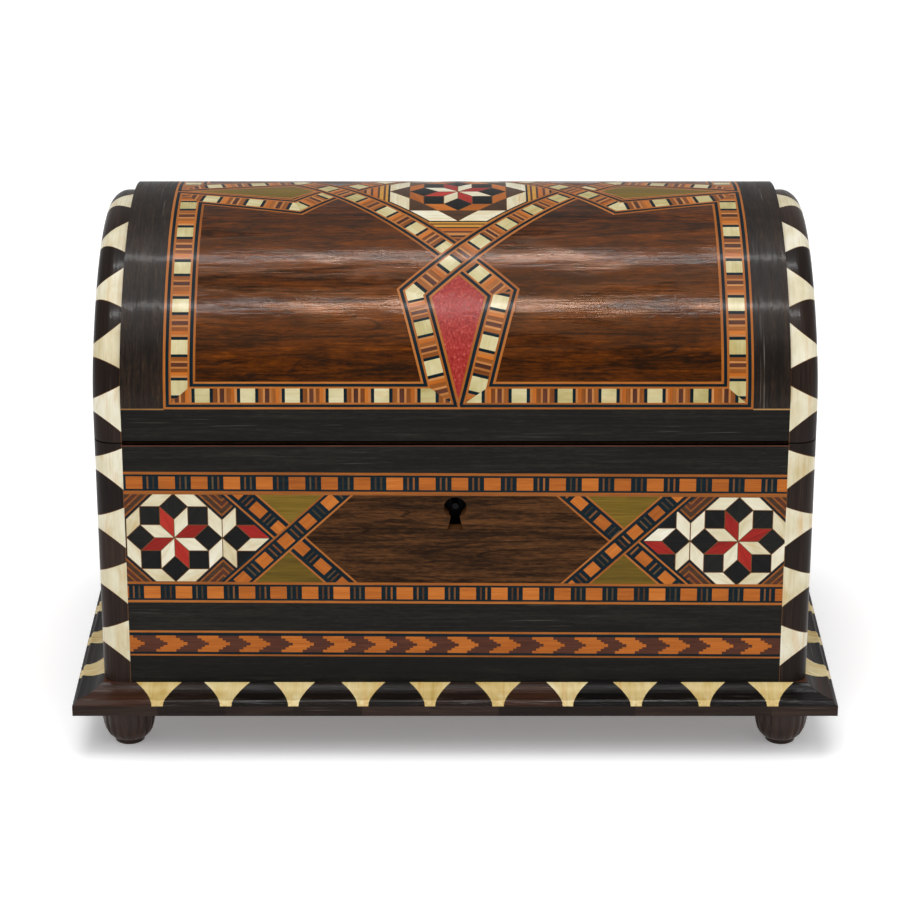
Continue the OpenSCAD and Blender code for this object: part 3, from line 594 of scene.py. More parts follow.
def octagon(cx, cy, apothem):
    r = apothem / math.cos(math.radians(22.5))
    return [(cx + polar(r, 22.5 + 45 * k)[0], cy + polar(r, 22.5 + 45 * k)[1]) for k in range(8)]


def star(lay, cx, cy, a, outer, gap=0.09, first=0):
    """Eight lozenges in turn red and bone, eight dark squares, and eight outer lozenges: an octagon of apothem 2.414a."""
    def put(mat, pts, ang):
        lay.add(mat, shrunk([(cx + x, cy + y) for x, y in pts], gap), math.radians(ang))
    for k in range(8):
        d0, d1 = 45 * k, 45 * (k + 1)
        p, q = polar(a, d0), polar(a, d1)
        tip = (p[0] + q[0], p[1] + q[1])
        put("red" if k % 2 == first else "bone", [(0, 0), p, tip, q], d0 + 22.5)
        e, f = polar(a, d1), polar(a, 45 * (k - 1))
        v0 = polar(a, d0)
        put("square", [v0, (v0[0] + e[0], v0[1] + e[1]), (v0[0] + e[0] + f[0], v0[1] + e[1] + f[1]),
                       (v0[0] + f[0], v0[1] + f[1])], d0)
        g, h = polar(a, 45 * (k - 1)), polar(a, 45 * (k + 2))
        put(outer, [tip, (tip[0] + g[0], tip[1] + g[1]), (tip[0] + g[0] + h[0], tip[1] + g[1] + h[1]),
                    (tip[0] + h[0], tip[1] + h[1])], d0 + 112.5)


def bars():
    """The bars between two blocks: three black ones, and two thin brown ones of uneven tone."""
    a, b = rnd.choice((("bar", "bar"), ("dim", "bar"), ("bar", "dim"), ("dim", "dim"), ("bar", "umber")))
    return ("black", 0.98), (a, 0.4), ("black", 0.9), (b, 0.44), ("black", 0.98)


def tile_row(lay, x0, x1, y0, y1, first, pitch, block, size=None):
    """A row of orange blocks, each followed by three black bars with two thin tan ones between."""
    k = -1
    while first + (k - 1) * pitch - block / 2 < x1:
        c = first + (k - 1) * pitch
        rest = pitch - block
        lay.add("orange", clip([(c - block / 2, y0), (c + block / 2, y0), (c + block / 2, y1), (c - block / 2, y1)],
                               [(x0, y0 - 1), (x1, y0 - 1), (x1, y1 + 1), (x0, y1 + 1)]), math.pi / 2 * 0)
        s = c + block / 2
        for mat, w in bars():
            w = w * rest / 3.7
            if mat != "black" and s > x0 and s + w < x1:
                lay.rect(mat, s, s + w, y0, y1, math.pi / 2)
            s += w
        k += 1
    lay.rect("black", x0, x1, y0, y1)


def segment(lay, p, q, half, bands, block=3.83, pitch=7.4, first=0.0, field=None):
    """A straight strap from p to q: outer line, black line, block row, black line, outer line."""
    dx, dy = q[0] - p[0], q[1] - p[1]
    length = math.hypot(dx, dy)
    ux, uy = dx / length, dy / length
    ang = math.atan2(dy, dx)

    def at(s, o):
        return p[0] + ux * s - uy * o, p[1] + uy * s + ux * o
    inner = half - sum(w for _, w in bands)
    s = first - pitch
    while s < length:
        a0, a1 = max(s, 0), min(s + block, length)
        if a1 > a0:
            lay.add("orange", [at(a0, -inner), at(a1, -inner), at(a1, inner), at(a0, inner)], ang)
        t = s + block
        for mat, w in bars():
            w = w * (pitch - block) / 3.7
            if mat != "black" and t > 0 and t + w < length:
                lay.add(mat, [at(t, -inner), at(t + w, -inner), at(t + w, inner), at(t, inner)], ang + math.pi / 2)
            t += w
        s += pitch
    lay.add("black", [at(0, -inner), at(length, -inner), at(length, inner), at(0, inner)], ang)
    o = half
    for mat, w in bands:
        for sgn in (-1, 1):
            lay.add(mat, [at(0, sgn * o), at(length, sgn * o), at(length, sgn * (o - w)), at(0, sgn * (o - w))], ang)
        o -= w


def chevrons(lay, x0, x1, y1, first, pitch=9.85):
    """The lower band: stepped arrows, orange on brown, between black and orange lines. y1 is its top edge."""
    lay.rect("line", x0, x1, y1 - 0.52, y1)
    lay.rect("black", x0, x1, y1 - 1.3, y1 - 0.52)
    rows = [0.66, 0.58, 0.46, 0.78, 0.46, 0.58, 0.66]
    step = [0.0, 0.95, 1.7, 2.65, 1.7, 0.95, 0.0]
    long = [(4.5 + 0.9 * rnd.random(), rnd.uniform(-0.25, 0.25), rnd.random()) for _ in range(40)]
    y = y1 - 1.3
    for r, s in zip(rows, step):
        k = -1
        while first + k * pitch < x1:
            w, off, seed = long[k % 40]
            a = first + k * pitch + s + off
            lay.add("orange", clip([(a, y - r), (a + w, y - r), (a + w, y), (a, y)],
                                   [(x0, y - 5), (x1, y - 5), (x1, y + 5), (x0, y + 5)]), tile=0.3 + 0.4 * seed)
            k += 1
        y -= r
    lay.rect("brown", x0, x1, y, y1 - 1.3, tile=0.5)
    lay.rect("black", x0, x1, y - 0.62, y)
    lay.rect("line", x0, x1, y - 1.05, y - 0.62)
    return y - 1.05


def frame_band(lay, x0, x1, y1, first, pitch, bottom):
    """A band of blocks; y1 is its top edge."""
    lay.rect("line", x0, x1, y1 - 0.65, y1)
    lay.rect("black", x0, x1, y1 - 1.15, y1 - 0.65)
    tile_row(lay, x0, x1, y1 - 4.25, y1 - 1.15, first, pitch, 3.83)
    lay.rect("black", x0, x1, y1 - 4.72, y1 - 4.25)
    y = y1 - 4.72
    for mat, w in bottom:
        lay.rect(mat, x0, x1, y - w, y)
        y -= w
    return y


def octagon_rings(lay, centres, r0, rings):
    for mat, r in rings:
        for cx, cy in centres:
            lay.add(mat, octagon(cx, cy, r0 + r), tile=0.5)


# ---------------------------------------------------------------- front, back and side sheets (Y of a layout is 0 at the seam)
KEY_Y = -16.0


def keyhole_outline():
    pts = []
    a0 = math.degrees(math.asin(1.1 / 2.7))
    for k in range(25):
        d = -90 + a0 + (360 - 2 * a0) * k / 24
        x, y = polar(2.7, d)
        pts.append((x, KEY_Y + y))
    return pts + [(-1.85, KEY_Y - 5.6), (1.85, KEY_Y - 5.6)]


def strap(black):
    return ("line", 0.45), ("black", black)


def case_front():
    lay = Layout(0.005)
    X = PANEL_X
    lay.add(None, keyhole_outline(), skew=False)
    # painted shadow: the rounded-over top edge of the front sheet at the seam is near-black
    lay.rect("void", -X - 1, X + 1, -0.4, 2, skew=False)
    lay.rect("brown", -X - 1, X + 1, -0.68, -0.3, skew=False)
    # the two bands of blocks run over everything else
    frame_band(lay, -X - 1, X + 1, -7.3, -74.1 + 7.517, 7.517, (("line", 0.45), ("umber", 0.45)))
    frame_band(lay, -X - 1, X + 1, -34.95, -70.8 + 7.378, 7.378, (("line", 0.6),))
    chevrons(lay, -X - 1, X + 1, -47.5, -70.5)
    # ebony above, between and below them
    lay.rect("ebony", -X - 1, X + 1, -7.3, 2)
    lay.rect("ebony", -X - 1, X + 1, -47.5, -40.1)
    lay.rect("ebony", -X - 1, X + 1, -63, -53)
    segment(lay, (-53.5, -38.0), (-24.0, -9.9), 2.5, strap(0.6), block=3.3, first=3.77, pitch=7.1)
    segment(lay, (25.0, -38.0), (53.6, -10.4), 2.5, strap(0.75), block=3.2, first=1.17, pitch=6.83)
    segment(lay, (-52.8, -9.8), (-23.9, -37.7), 2.75, strap(0.95), block=3.6, first=1.41, pitch=6.8)
    segment(lay, (24.3, -10.4), (39.1, -24.1), 2.5, strap(0.75), block=3.5, first=4.26)
    segment(lay, (39.1, -24.1), (54.3, -38.2), 2.5, strap(0.75), block=3.5, first=4.86)
    # a thin black line between each strap and the rosette it cuts
    for (px, py), (qx, qy), w in (((-53.5, -38.0), (-37.6, -22.8), 2.5), ((-38.4, -23.7), (-52.8, -9.8), 2.75),
                                  ((39.1, -24.3), (53.6, -10.4), -2.5), ((54.3, -38.2), (38.6, -23.6), -2.5)):
        d = math.hypot(qx - px, qy - py)
        ox, oy = -(qy - py) / d, (qx - px) / d
        a, b = w, w + math.copysign(0.6, w)
        lay.add("black", [(px + ox * a, py + oy * a), (qx + ox * a, qy + oy * a), (qx + ox * b, qy + oy * b), (px + ox * b, py + oy * b)],
                math.atan2(qy - py, qx - px))
    # olive triangles above and below each crossing
    for cx, cy in ((-38.2, -23.4), (39.1, -24.3)):
        lay.add("olive", [(cx, cy), (cx - 14, cy + 13.6), (cx + 14, cy + 13.6)], 0.0)
        lay.add("olive", [(cx, cy), (cx - 14, cy - 13.6), (cx + 14, cy - 13.6)], 0.0)
    # the centre panel, between the crossings
    lay.add("rosedark", [(-38.2, -23.4), (-23.5, -9.6), (24.6, -10.2), (39.1, -24.3), (25.2, -38), (-23.8, -37.6)], 0.0)
    cs = [(-65.2, -23.8), (-42.9, -23.8), (43.4, -24.1), (65.75, -24.1)]
    for (cx, cy), first in zip(cs, (0, 1, 1, 0)):
        star(lay, cx, cy, 4.61, "bone", first=first)
    octagon_rings(lay, cs, 11.13, (("glue", 0.08), ("black", 0.55), ("umber", 1.0), ("choc", 1.95), ("umber", 2.35), ("brown", 3.2),
                                   ("umber", 3.6), ("choc", 7.0)))
    lay.rect("ebony", -X - 1, X + 1, -36, -12)
    return lay


def flat_outline(x, y0, y1):
    return [(-x, y0), (x, y0), (x, y1), (-x, y1)]


def eased(d):
    """How far an edge at distance d is rounded over."""
    return max(0.0, 0.4 - d) * 0.9


def front_sheet():
    plate("front_marquetry_sheet", "case", case_front(), flat_outline(PANEL_X, BASE_Z - RIM, 0.0),
          lambda x, y: (x, -BODY_Y + eased(-y), RIM + y), lambda x, y: (x, -BODY_Y + SHEET, RIM + y), lambda x, y: (0, -1, 0),
          replaces=("front_marquetry",))


def back_sheet():
    lay = Layout()
    X = PANEL_X
    frame_band(lay, -X - 1, X + 1, -7.3, -75.2, 7.5, (("line", 0.45), ("umber", 0.45)))
    frame_band(lay, -X - 1, X + 1, -34.95, -75.2, 7.5, (("line", 0.6),))
    chevrons(lay, -X - 1, X + 1, -47.5, -73.0)
    lay.rect("ebony", -X - 1, X + 1, -7.3, 2)
    lay.rect("ebony", -X - 1, X + 1, -47.5, -40.1)
    lay.rect("ebony", -X - 1, X + 1, -63, -53)
    cs = [(-65.2, -24.0), (0.0, -24.0), (65.2, -24.0)]
    for cx, cy in cs:
        star(lay, cx, cy, 4.6, "bone")
    octagon_rings(lay, cs, 11.1, (("glue", 0.0), ("black", 0.55), ("line", 1.0), ("choc", 1.95), ("line", 2.4), ("ebony", 3.3)))
    for x in (-51.9, -13.3, 13.3, 51.9):
        lay.rect("black", x - 0.3, x + 0.3, -35, -12)
        for s in (-1, 1):
            lay.rect("line", x + s * 0.5 - 0.2, x + s * 0.5 + 0.2, -35, -12)
    for s in (-1, 1):
        lay.rect("rosedark", min(s * 13.9, s * 51.3), max(s * 13.9, s * 51.3), -35, -12)
    lay.rect("ebony", -X - 1, X + 1, -36, -12)
    top_y = 75.93 - RIM

    def under(x, y):
        return -x, BODY_Y - SHEET, RIM + (y if y < top_y - 1 else y + (76.8 - 75.93) * (y - top_y + 1))
    plate("back_marquetry_sheet", "case", lay, flat_outline(PANEL_X, BASE_Z - RIM, top_y),
          lambda x, y: (-x, BODY_Y, RIM + y), under, lambda x, y: (0, 1, 0), replaces=("back_marquetry",))


def side_sheet(name, sx, node):
    lay = Layout()
    Y = PANEL_Y
    frame_band(lay, -Y - 1, Y + 1, -7.3, -41.2, 7.5, (("line", 0.45), ("umber", 0.45)))
    frame_band(lay, -Y - 1, Y + 1, -34.95, -41.2, 7.5, (("line", 0.6),))
    chevrons(lay, -Y - 1, Y + 1, -47.5, -42.0)
    lay.rect("ebony", -Y - 1, Y + 1, -7.3, 2)
    lay.rect("ebony", -Y - 1, Y + 1, -47.5, -40.1)
    lay.rect("ebony", -Y - 1, Y + 1, -63, -53)
    # one rosette between two straps that cross at each side
    cs = [(0.0, -24.0)]
    for cx in (-24.5, 24.5):
        segment(lay, (cx - 14.2, -38.2), (cx + 14.2, -9.8), 2.5, strap(0.6), block=3.4, first=1.4)
    for cx in (-24.5, 24.5):
        segment(lay, (cx - 14.2, -9.8), (cx + 14.2, -38.2), 2.5, strap(0.6), block=3.4, first=3.2)
    for cx in (-24.5, 24.5):
        lay.add("olive", [(cx, -24), (cx - 14, -10), (cx + 14, -10)], 0.0)
        lay.add("olive", [(cx, -24), (cx - 14, -38), (cx + 14, -38)], 0.0)
    star(lay, 0.0, -24.0, 4.6, "bone")
    octagon_rings(lay, cs, 11.1, (("glue", 0.0), ("black", 0.55), ("line", 1.0), ("choc", 1.95), ("line", 2.4), ("ebony", 3.3)))
    lay.rect("rosedark", -Y - 1, -24.5, -36, -12)
    lay.rect("rosedark", 24.5, Y + 1, -36, -12)
    lay.rect("ebony", -Y - 1, Y + 1, -36, -12)
    plate(name, "case", lay, flat_outline(PANEL_Y, BASE_Z - RIM, 0.0),
          lambda x, y: (sx * BODY_X, sx * x, RIM + y), lambda x, y: (sx * (BODY_X - SHEET), sx * x, RIM + y),
          lambda x, y: (sx, 0, 0), replaces=(node,))


# ---------------------------------------------------------------- the lid's sheet
class Ribbon:
    """A closed strap through a list of points, mitred at each, with a half width for each length."""

    def __init__(self, pts, half):
        self.p, self.h, self.n = pts, half, len(pts)
        self.d, self.l = [], []
        for i in range(self.n):
            (ax, ay), (bx, by) = pts[i], pts[(i + 1) % self.n]
            l = math.hypot(bx - ax, by - ay)
            self.l.append(l)
            self.d.append(((bx - ax) / l, (by - ay) / l))

    def at(self, i, t, f):
        (px, py), (dx, dy), h = self.p[i], self.d[i], self.h[i]
        return px + dx * t - dy * f * h, py + dy * t + dx * f * h

    def mitre(self, i, f):
        j, i = (i - 1) % self.n, i % self.n
        (ax, ay), (bx, by) = self.d[j], self.d[i]
        n0, n1 = (-ay, ax), (-by, bx)
        px, py = self.p[i]
        c0 = px * n0[0] + py * n0[1] + f * self.h[j]
        c1 = px * n1[0] + py * n1[1] + f * self.h[i]
        det = n0[0] * n1[1] - n0[1] * n1[0]
        if abs(det) < 1e-6:
            return self.at(i, 0, f)
        return (c0 * n1[1] - c1 * n0[1]) / det, (n0[0] * c1 - n1[0] * c0) / det

    def quad(self, i, f0, f1, t0=None, t1=None):
        a, d = (self.mitre(i, f0), self.mitre(i, f1)) if t0 is None else (self.at(i, t0, f0), self.at(i, t0, f1))
        b, c = (self.mitre(i + 1, f0), self.mitre(i + 1, f1)) if t1 is None else (self.at(i, t1, f0), self.at(i, t1, f1))
        return [a, b, c, d]


SECTION = (("line", 0.5), ("black", 0.65), ("line", 0.45), (None, 3.3), ("line", 0.4), ("black", 0.7), ("line", 0.45))
STRIPES = (("black", 0.7), ("umber", 0.95), ("light", 0.45), ("brown", 0.95), ("light", 0.45), ("umber", 0.9), ("orange", 0.8),
           ("light", 0.5), ("black", 0.7))
BONE_T = 3.4


def lay_ribbon(lay, rb, i, bones, t0=None, t1=None):
    """One length of a ribbon, from t0 to t1, with bone squares at the given distances along it."""
    total = sum(w for _, w in SECTION)
    f, lines = -1.0, []
    for mat, w in SECTION:
        g = f + 2 * w / total
        lines.append((mat, f, g))
        f = g
    (dx, dy) = rb.d[i]
    ang = math.atan2(dy, dx)
    row = next((f0, f1) for mat, f0, f1 in lines if mat is None)
    cell = rb.quad(i, row[0], row[1], t0, t1)
    pitch = 10.3
    marks = sorted(bones)
    low = 0.0 if t0 is None else t0
    high = rb.l[i] if t1 is None else t1
    while marks[0] > low - 8:
        marks.insert(0, marks[0] - pitch)
    while marks[-1] < high + 8:
        marks.append(marks[-1] + pitch)

    def put(mat, a, b, turned):
        poly = clip([rb.at(i, a, row[0]), rb.at(i, b, row[0]), rb.at(i, b, row[1]), rb.at(i, a, row[1])], cell)
        if poly:
            lay.add(mat, poly, ang + (math.pi / 2 if turned else 0))
    for m, nxt in zip(marks, marks[1:] + [marks[-1] + pitch]):
        if m - BONE_T < high + 4 and m + BONE_T > low - 4:
            put("bonelid", m - BONE_T / 2, m + BONE_T / 2, False)
        s, k = m + BONE_T / 2, (nxt - m - BONE_T) / sum(w for _, w in STRIPES)
        for mat, w in STRIPES:
            if s < high + 4 and s + w * k > low - 4:
                put(mat, s, s + w * k, True)
            s += w * k
    lay.add("black", cell, ang)
    for mat, f0, f1 in lines:
        if mat:
            lay.add(mat, rb.quad(i, f0, f1, t0, t1), ang)


def mirrored(pts):
    return [(-x, y) for x, y in pts]


def lid_layout():
    lay = Layout()
    c = LM
    p1 = [(-63.75, 71.9), (-63.75, 11.7), (-4.0, 11.7), (-10.15, 36.5), (37.85, 2 * c - 66.4)]
    p1 += [(-x, 2 * c - y) for x, y in p1]
    half = [3.7, 3.225, 3.65, 3.65, 3.65] * 2
    one, two = Ribbon(p1, half), Ribbon(mirrored(p1), half)
    bones1 = [[4.8, 16.5, 28.3, 38.7, 49.0, 58.4], [5.25, 15.65, 25.85, 35.85, 46.25, 56.85], [6.8, 16.4, 25.55],
              [0.0, 11.8, 21.8, 30.9, 39.8, 48.6, 58.6, 68.6], [0.0, 10.5, 21.1]]
    bones2 = [[4.8, 16.3, 28.0, 38.4, 49.0, 58.6], [8.35, 18.85, 29.35, 39.35, 49.85], [2.6, 12.6, 23.1],
              [7.6, 18.6, 28.6, 38.6, 49.2, 58.8, 68.6], [0.0, 10.4, 21.0]]
    mid = one.l[3] / 2
    # the lengths that pass over, then those that pass under
    for rb, i, bones, t0, t1 in ((one, 3, bones1, None, mid), (one, 8, bones1, None, mid), (two, 3, bones2, mid, None),
                                 (two, 8, bones2, mid, None)):
        lay_ribbon(lay, rb, i, bones[i % 5], t0, t1)
    for rb, bones in ((one, bones1), (two, bones2)):
        for i in range(10):
            if i not in (3, 8):
                lay_ribbon(lay, rb, i, bones[i % 5])
    for rb, i, bones, t0, t1 in ((one, 3, bones1, mid, None), (one, 8, bones1, mid, None), (two, 3, bones2, None, mid),
                                 (two, 8, bones2, None, mid)):
        lay_ribbon(lay, rb, i, bones[i % 5], t0, t1)
    # red kites front and back
    for s in (0, 1):
        kite = [(0, 8.6), (6.45, 35.4), (0, 41.6), (-6.45, 35.4)]
        if s:
            kite = [(x, 2 * c - y) for x, y in kite]
        lay.add("kite", shrunk(kite, 0.12), math.pi / 2, 0.5)
        lay.add("umber", kite, 0, 0.5)
    # olive kites left and right
    for s in (-1, 1):
        kite = [(s * 67.3, c), (s * 39.3, c - 5.7), (s * 32.9, c), (s * 39.3, c + 5.7)]
        lay.add("olive", shrunk(kite, 0.9), 0, 0.5)
        lay.add("light", shrunk(kite, 0.5), 0, 0.5)
        lay.add("black", kite, 0, 0.5)
    # the rosette: a star in an octagon, in a square, in a larger octagon
    a = 4.75
    k = (1 + math.sqrt(2)) * a
    r = k + a
    star(lay, 0, c, a, "orange")
    for q in range(4):
        def place(pts):
            return [(turn(p, 90 * q)[0], c + turn(p, 90 * q)[1]) for p in pts]
        lay.add("choc", shrunk(place([(a, -k), (k, -k), (k, -a)]), 0.08), math.radians(90 * q - 45))
        lay.add("choc", shrunk(place([(-a, -k), (a, -k), (0, -r)]), 0.08), math.radians(90 * q))
        lay.add("bone", shrunk(place([(-k, -k), (-a, -k), (0, -r), (-k + a, -r)]), 0.08), math.radians(90 * q))
        lay.add("bone", shrunk(place([(k, -k), (a, -k), (0, -r), (k - a, -r)]), 0.08), math.radians(90 * q))
    for mat, d in (("glue", 0.0), ("black", 0.4), ("gold", 1.0), ("brown", 1.5), ("gold", 2.4), ("choc", 2.9), ("orange", 4.0),
                   ("brown", 4.6), ("light", 5.6), ("black", 6.1), ("umber", 6.8), ("brown", 7.6)):
        lay.add(mat, octagon(0, c, r + d), tile=0.5)
    # fields, then the dark bands outside the frame
    field = [(-60, 60, 14.9, LT - 14.9)]
    for x0, x1, y0, y1 in field:
        lay.rect("rosewood", x0 - 0.1, 0, y0, c)
        lay.rect("rosewood", 0, x1 + 0.1, y0, c)
        lay.rect("rosewood", x0 - 0.1, 0, c, y1)
        lay.rect("rosewood", 0, x1 + 0.1, c, y1)
    X = PANEL_X + 1
    for s in (-1, 1):
        for y in (8.45, LT - 8.45):
            lay.rect("tan", min(s * 67.4, s * X), max(s * 67.4, s * X), y - 0.17, y + 0.17)
        lay.rect("band", min(s * 67.4, s * X), max(s * 67.4, s * X), 8.45, LT - 8.45, math.pi / 2, 0.5)
    lay.rect("ebony", -X, X, -1, 8.5)
    lay.rect("ebony", -X, X, LT - 8.5, LT + 1)
    lay.rect("black", -X, X, -1, LT + 1)
    return lay


def lid_sheet():
    lay = lid_layout()
    # painted shadow: the lid sheet's rounded lower edge at the seam is near-black, laid over every other tile
    lay.items.insert(0, ("void", flat_outline(90, -1, LID_Z - RIM + 0.4), 0.0, 0.5, (0, 0, 0)))
    lay.items = [(m, [(x + 0.7, y) for x, y in pts], *rest) for m, pts, *rest in lay.items]
    a0, a1 = LID_Z - RIM, LT - (81.17 - RIM)

    def top(x, a):
        y, z, ny, nz = dome(a)
        return x, y - ny * eased(a - a0), z - nz * eased(a - a0)

    def under(x, a):
        b = a if a < a1 - 1 else a + 0.87 * (a - a1 + 1)
        y, z, ny, nz = dome(b)
        return x, y - ny * SHEET, z - nz * SHEET

    def normal(x, a):
        _, _, ny, nz = dome(a)
        return 0, ny, nz
    cuts = [((-PANEL_X - 2, a), (PANEL_X + 2, a)) for a in dome_steps(a0, a1)]
    plate("lid_marquetry_sheet", "lid", lay, [(-PANEL_X, a0), (PANEL_X, a0), (PANEL_X, a1), (-PANEL_X, a1)],
          top, under, normal, cuts, ("lid_marquetry",))


# ---------------------------------------------------------------- corner and lid strips with their bone teeth
CR, SW = 4.2, 6.7
FLAT = SW - CR
ARC = CR * math.pi / 2
S_END = 2 * FLAT + ARC


def strip_at(s):
    """Across a strip: (distance out past the panel's edge, depth below its face, normal out, normal along the face)."""
    if s <= FLAT:
        return s, 0.0, 0.0, 1.0
    if s <= FLAT + ARC:
        th = (s - FLAT) / CR
        return FLAT + CR * math.sin(th), CR * (1 - math.cos(th)), math.sin(th), math.cos(th)
    return SW, CR + s - FLAT - ARC, 1.0, 0.0


S_STEPS = [0.0, FLAT / 3, FLAT * 2 / 3, FLAT] + [FLAT + ARC * k / 8 for k in range(1, 8)] + [FLAT + ARC, S_END]


def tooth(y, w0, w1, rise=0.0):
    """A bone tooth, w0 wide at the panel and w1 at the corner; rise bends it to follow the round."""
    side = []
    for s in S_STEPS:
        out, deep, _, _ = strip_at(s)
        d = out / SW
        side.append((s, (w1 + (w0 - w1) * (1 - d) ** 1.3) / 2, rise * (CR * d - min(deep, CR))))
    return [(s, y - h + r) for s, h, r in side] + [(s, y + h + r) for s, h, r in reversed(side)]


def strip_layout(teeth, y0, y1, w1, section):
    lay = Layout()
    for y, w, in teeth:
        _, _, ny, nz = section(y)
        rise = max(-0.3, min(0.4, math.tan(math.radians(21.65) - math.atan2(nz, abs(ny)))))
        w2 = w1 + rnd.uniform(-0.3, 0.3)
        lay.add("bone", tooth(y, w - 0.25, w2, rise), math.pi / 2)
        lay.add("glue", tooth(y, w + 0.1, w2 + 0.35, rise), 0.0)
    lay.rect("glue", -0.2, 0.14, y0 - 1, y1 + 1)
    cuts = sorted([y for y, _ in teeth])
    edges = [y0 - 1] + cuts + [y1 + 1]
    for a, b in zip(edges, edges[1:]):
        lay.rect("stripdark", -1, S_END + 1, a, b, math.pi / 2)
    return lay


def strip_plate(name, body, teeth, y0, y1, section, sx, nodes, w1=3.2, steps=(), mirror_y=False):
    """section(a) gives (y, z, ny, nz) of the face's line; the strip turns from that face to the end face."""
    lay = strip_layout(teeth, y0, y1, w1, section)

    def spot(s, a, inset):
        out, deep, no, nf = strip_at(s)
        y, z, ny, nz = section(a)
        # the strip is a thin angle: its back is square, its face rounded
        if inset:
            if s <= FLAT + ARC / 2:
                out, deep = min(out, SW - SHEET), SHEET
            else:
                out, deep = SW - SHEET, max(deep, SHEET)
        return sx * (PANEL_X + out), y - ny * deep, z - nz * deep

    def normal(s, a):
        _, _, no, nf = strip_at(s)
        _, _, ny, nz = section(a)
        return sx * no, ny * nf, nz * nf
    cuts = [((s, y0 - 2), (s, y1 + 2)) for s in S_STEPS[1:-1]] + [((-1, a), (S_END + 1, a)) for a in steps]
    return plate(name, body, lay, [(0, y0), (S_END, y0), (S_END, y1), (0, y1)],
                 lambda s, a: spot(s, a, False), lambda s, a: spot(s, a, True), normal, cuts, nodes, core="stripdark")


def corner_strips():
    left = [(-6.3, 10.5), (-21.0, 10.4), (-35.0, 10.8), (-49.9, 10.9)]
    right = [(-6.4, 9.9), (-20.8, 10.2), (-35.9, 10.6), (-51.1, 10.7)]
    made = []
    for sx, teeth in ((-1, left), (1, right)):
        for sy in (-1, 1):
            top = 0.0 if sy < 0 else -2.47

            def section(a, sy=sy):
                return sy * BODY_Y, RIM + a, float(sy), 0.0
            made.append(strip_plate(f"corner_strip_{'left' if sx < 0 else 'right'}_{'front' if sy < 0 else 'back'}", "case", teeth,
                                    BASE_Z - RIM, top, section, sx, ("corner_strips",) if not made else ()))
    return made


def lid_strips():
    front = [(10.4, 11.2), (25.4, 11.4), (40.6, 11.7), (57.2, 12.6)]
    teeth = front + [(LM, 11.8)] + [(LT - y, w) for y, w in front]
    a0, a1 = LID_Z - RIM + DROP, LT - DROP - (81.17 - RIM)
    out = []
    for sx, name, node in ((-1, "lid_strip_left", "lid_left_strip"), (1, "lid_strip_right", "lid_right_strip")):
        out.append(strip_plate(name, "lid", teeth, a0, a1, lambda a: dome(a, DROP), sx, (node,), steps=dome_steps(a0, a1)))
    return out


# ---------------------------------------------------------------- plinth edging
EDGE = [(0.0, 5.6), (0.5, 5.4), (1.7, 4.6), (3.1, 4.0), (4.5, 3.7), (5.4, 3.75), (5.9, 3.4), (6.0, 2.7), (6.7, 2.5), (6.7, 0.0)]
EDGE_S = [0.0]
for (a_, b_), (c_, d_) in zip(EDGE, EDGE[1:]):
    EDGE_S.append(EDGE_S[-1] + math.hypot(c_ - a_, d_ - b_))


def edge_at(s):
    for k in range(len(EDGE) - 1):
        if s <= EDGE_S[k + 1] + 1e-9 or k == len(EDGE) - 2:
            t = (s - EDGE_S[k]) / (EDGE_S[k + 1] - EDGE_S[k])
            (a, b), (c, d) = EDGE[k], EDGE[k + 1]
            n = (b - d, c - a)
            l = math.hypot(*n)
            return a + (c - a) * t, b + (d - b) * t, n[0] / l, n[1] / l


def edge_piece(name, half, place, node, count, shift=0.0, pitch=16.05, seen=None):
    """place(x, out) gives the plan position of a point x along the side and out from the wall."""
    lay = Layout()
    seen = seen or [(0.0, 5.15), (0.13, 4.35), (0.33, 3.2), (0.53, 2.3), (0.67, 1.75), (0.8, 1.42), (1.0, 1.25)]
    # how far down the edge each share of the seen drop lies
    drops = [0.369 * o + 0.929 * (5.6 - h) for o, h in EDGE]
    total = drops[8]

    def share(s):
        o, h, _, _ = edge_at(s)
        return (0.369 * o + 0.929 * (5.6 - h)) / total

    def width(q):
        q = min(max(q, 0.0), 1.0)
        for (q0, w0), (q1, w1) in zip(seen, seen[1:]):
            if q <= q1:
                return w0 + (w1 - w0) * (q - q0) / (q1 - q0)
        return seen[-1][1]
    steps = []
    for k in range(8):
        for j in range(3):
            steps.append(EDGE_S[k] + (EDGE_S[k + 1] - EDGE_S[k]) * j / 3)
    steps.append(EDGE_S[8])
    first = -pitch * (count - 1) / 2 + shift
    for k in range(count):
        c = first + k * pitch + rnd.uniform(-0.25, 0.25)
        grow = rnd.uniform(0.94, 1.06)
        right = [(c + width(share(s)) * grow, s) for s in steps]
        left = [(c - width(share(s)) * grow, s) for s in reversed(steps)]
        lay.add("bonegold", right + left, math.pi / 2)
    marks = [-half - 12] + [first + k * pitch for k in range(count)] + [half + 12]
    for a, b in zip(marks, marks[1:]):
        lay.rect("edge", a, b, -1, EDGE_S[8] + 0.01)
        lay.rect("stripdark", a, b, EDGE_S[8], EDGE_S[-1] + 1)
    outline = [(-half - EDGE[k][0], EDGE_S[k]) for k in range(len(EDGE))] + \
              [(half + EDGE[k][0], EDGE_S[k]) for k in range(len(EDGE) - 1, -1, -1)]
    cuts = [((-half - 12, s), (half + 12, s)) for s in EDGE_S[1:-1]]

    def top(x, s):
        o, h, _, _ = edge_at(s)
        return (*place(x, o), FOOT_H + h)

    def under(x, s):
        o, h, _, _ = edge_at(s)
        # the back is the wall side and the plinth's underside
        return (*place(max(-half, min(half, x)), 0.0), FOOT_H + h * 0.98)

    def normal(x, s):
        _, _, no, nh = edge_at(s)
        px, py = place(x, 1.0)
        qx, qy = place(x, 0.0)
        return (px - qx) * no, (py - qy) * no, nh
    return plate(name, "case", lay, outline, top, under, normal, cuts, (node,), core="edge")


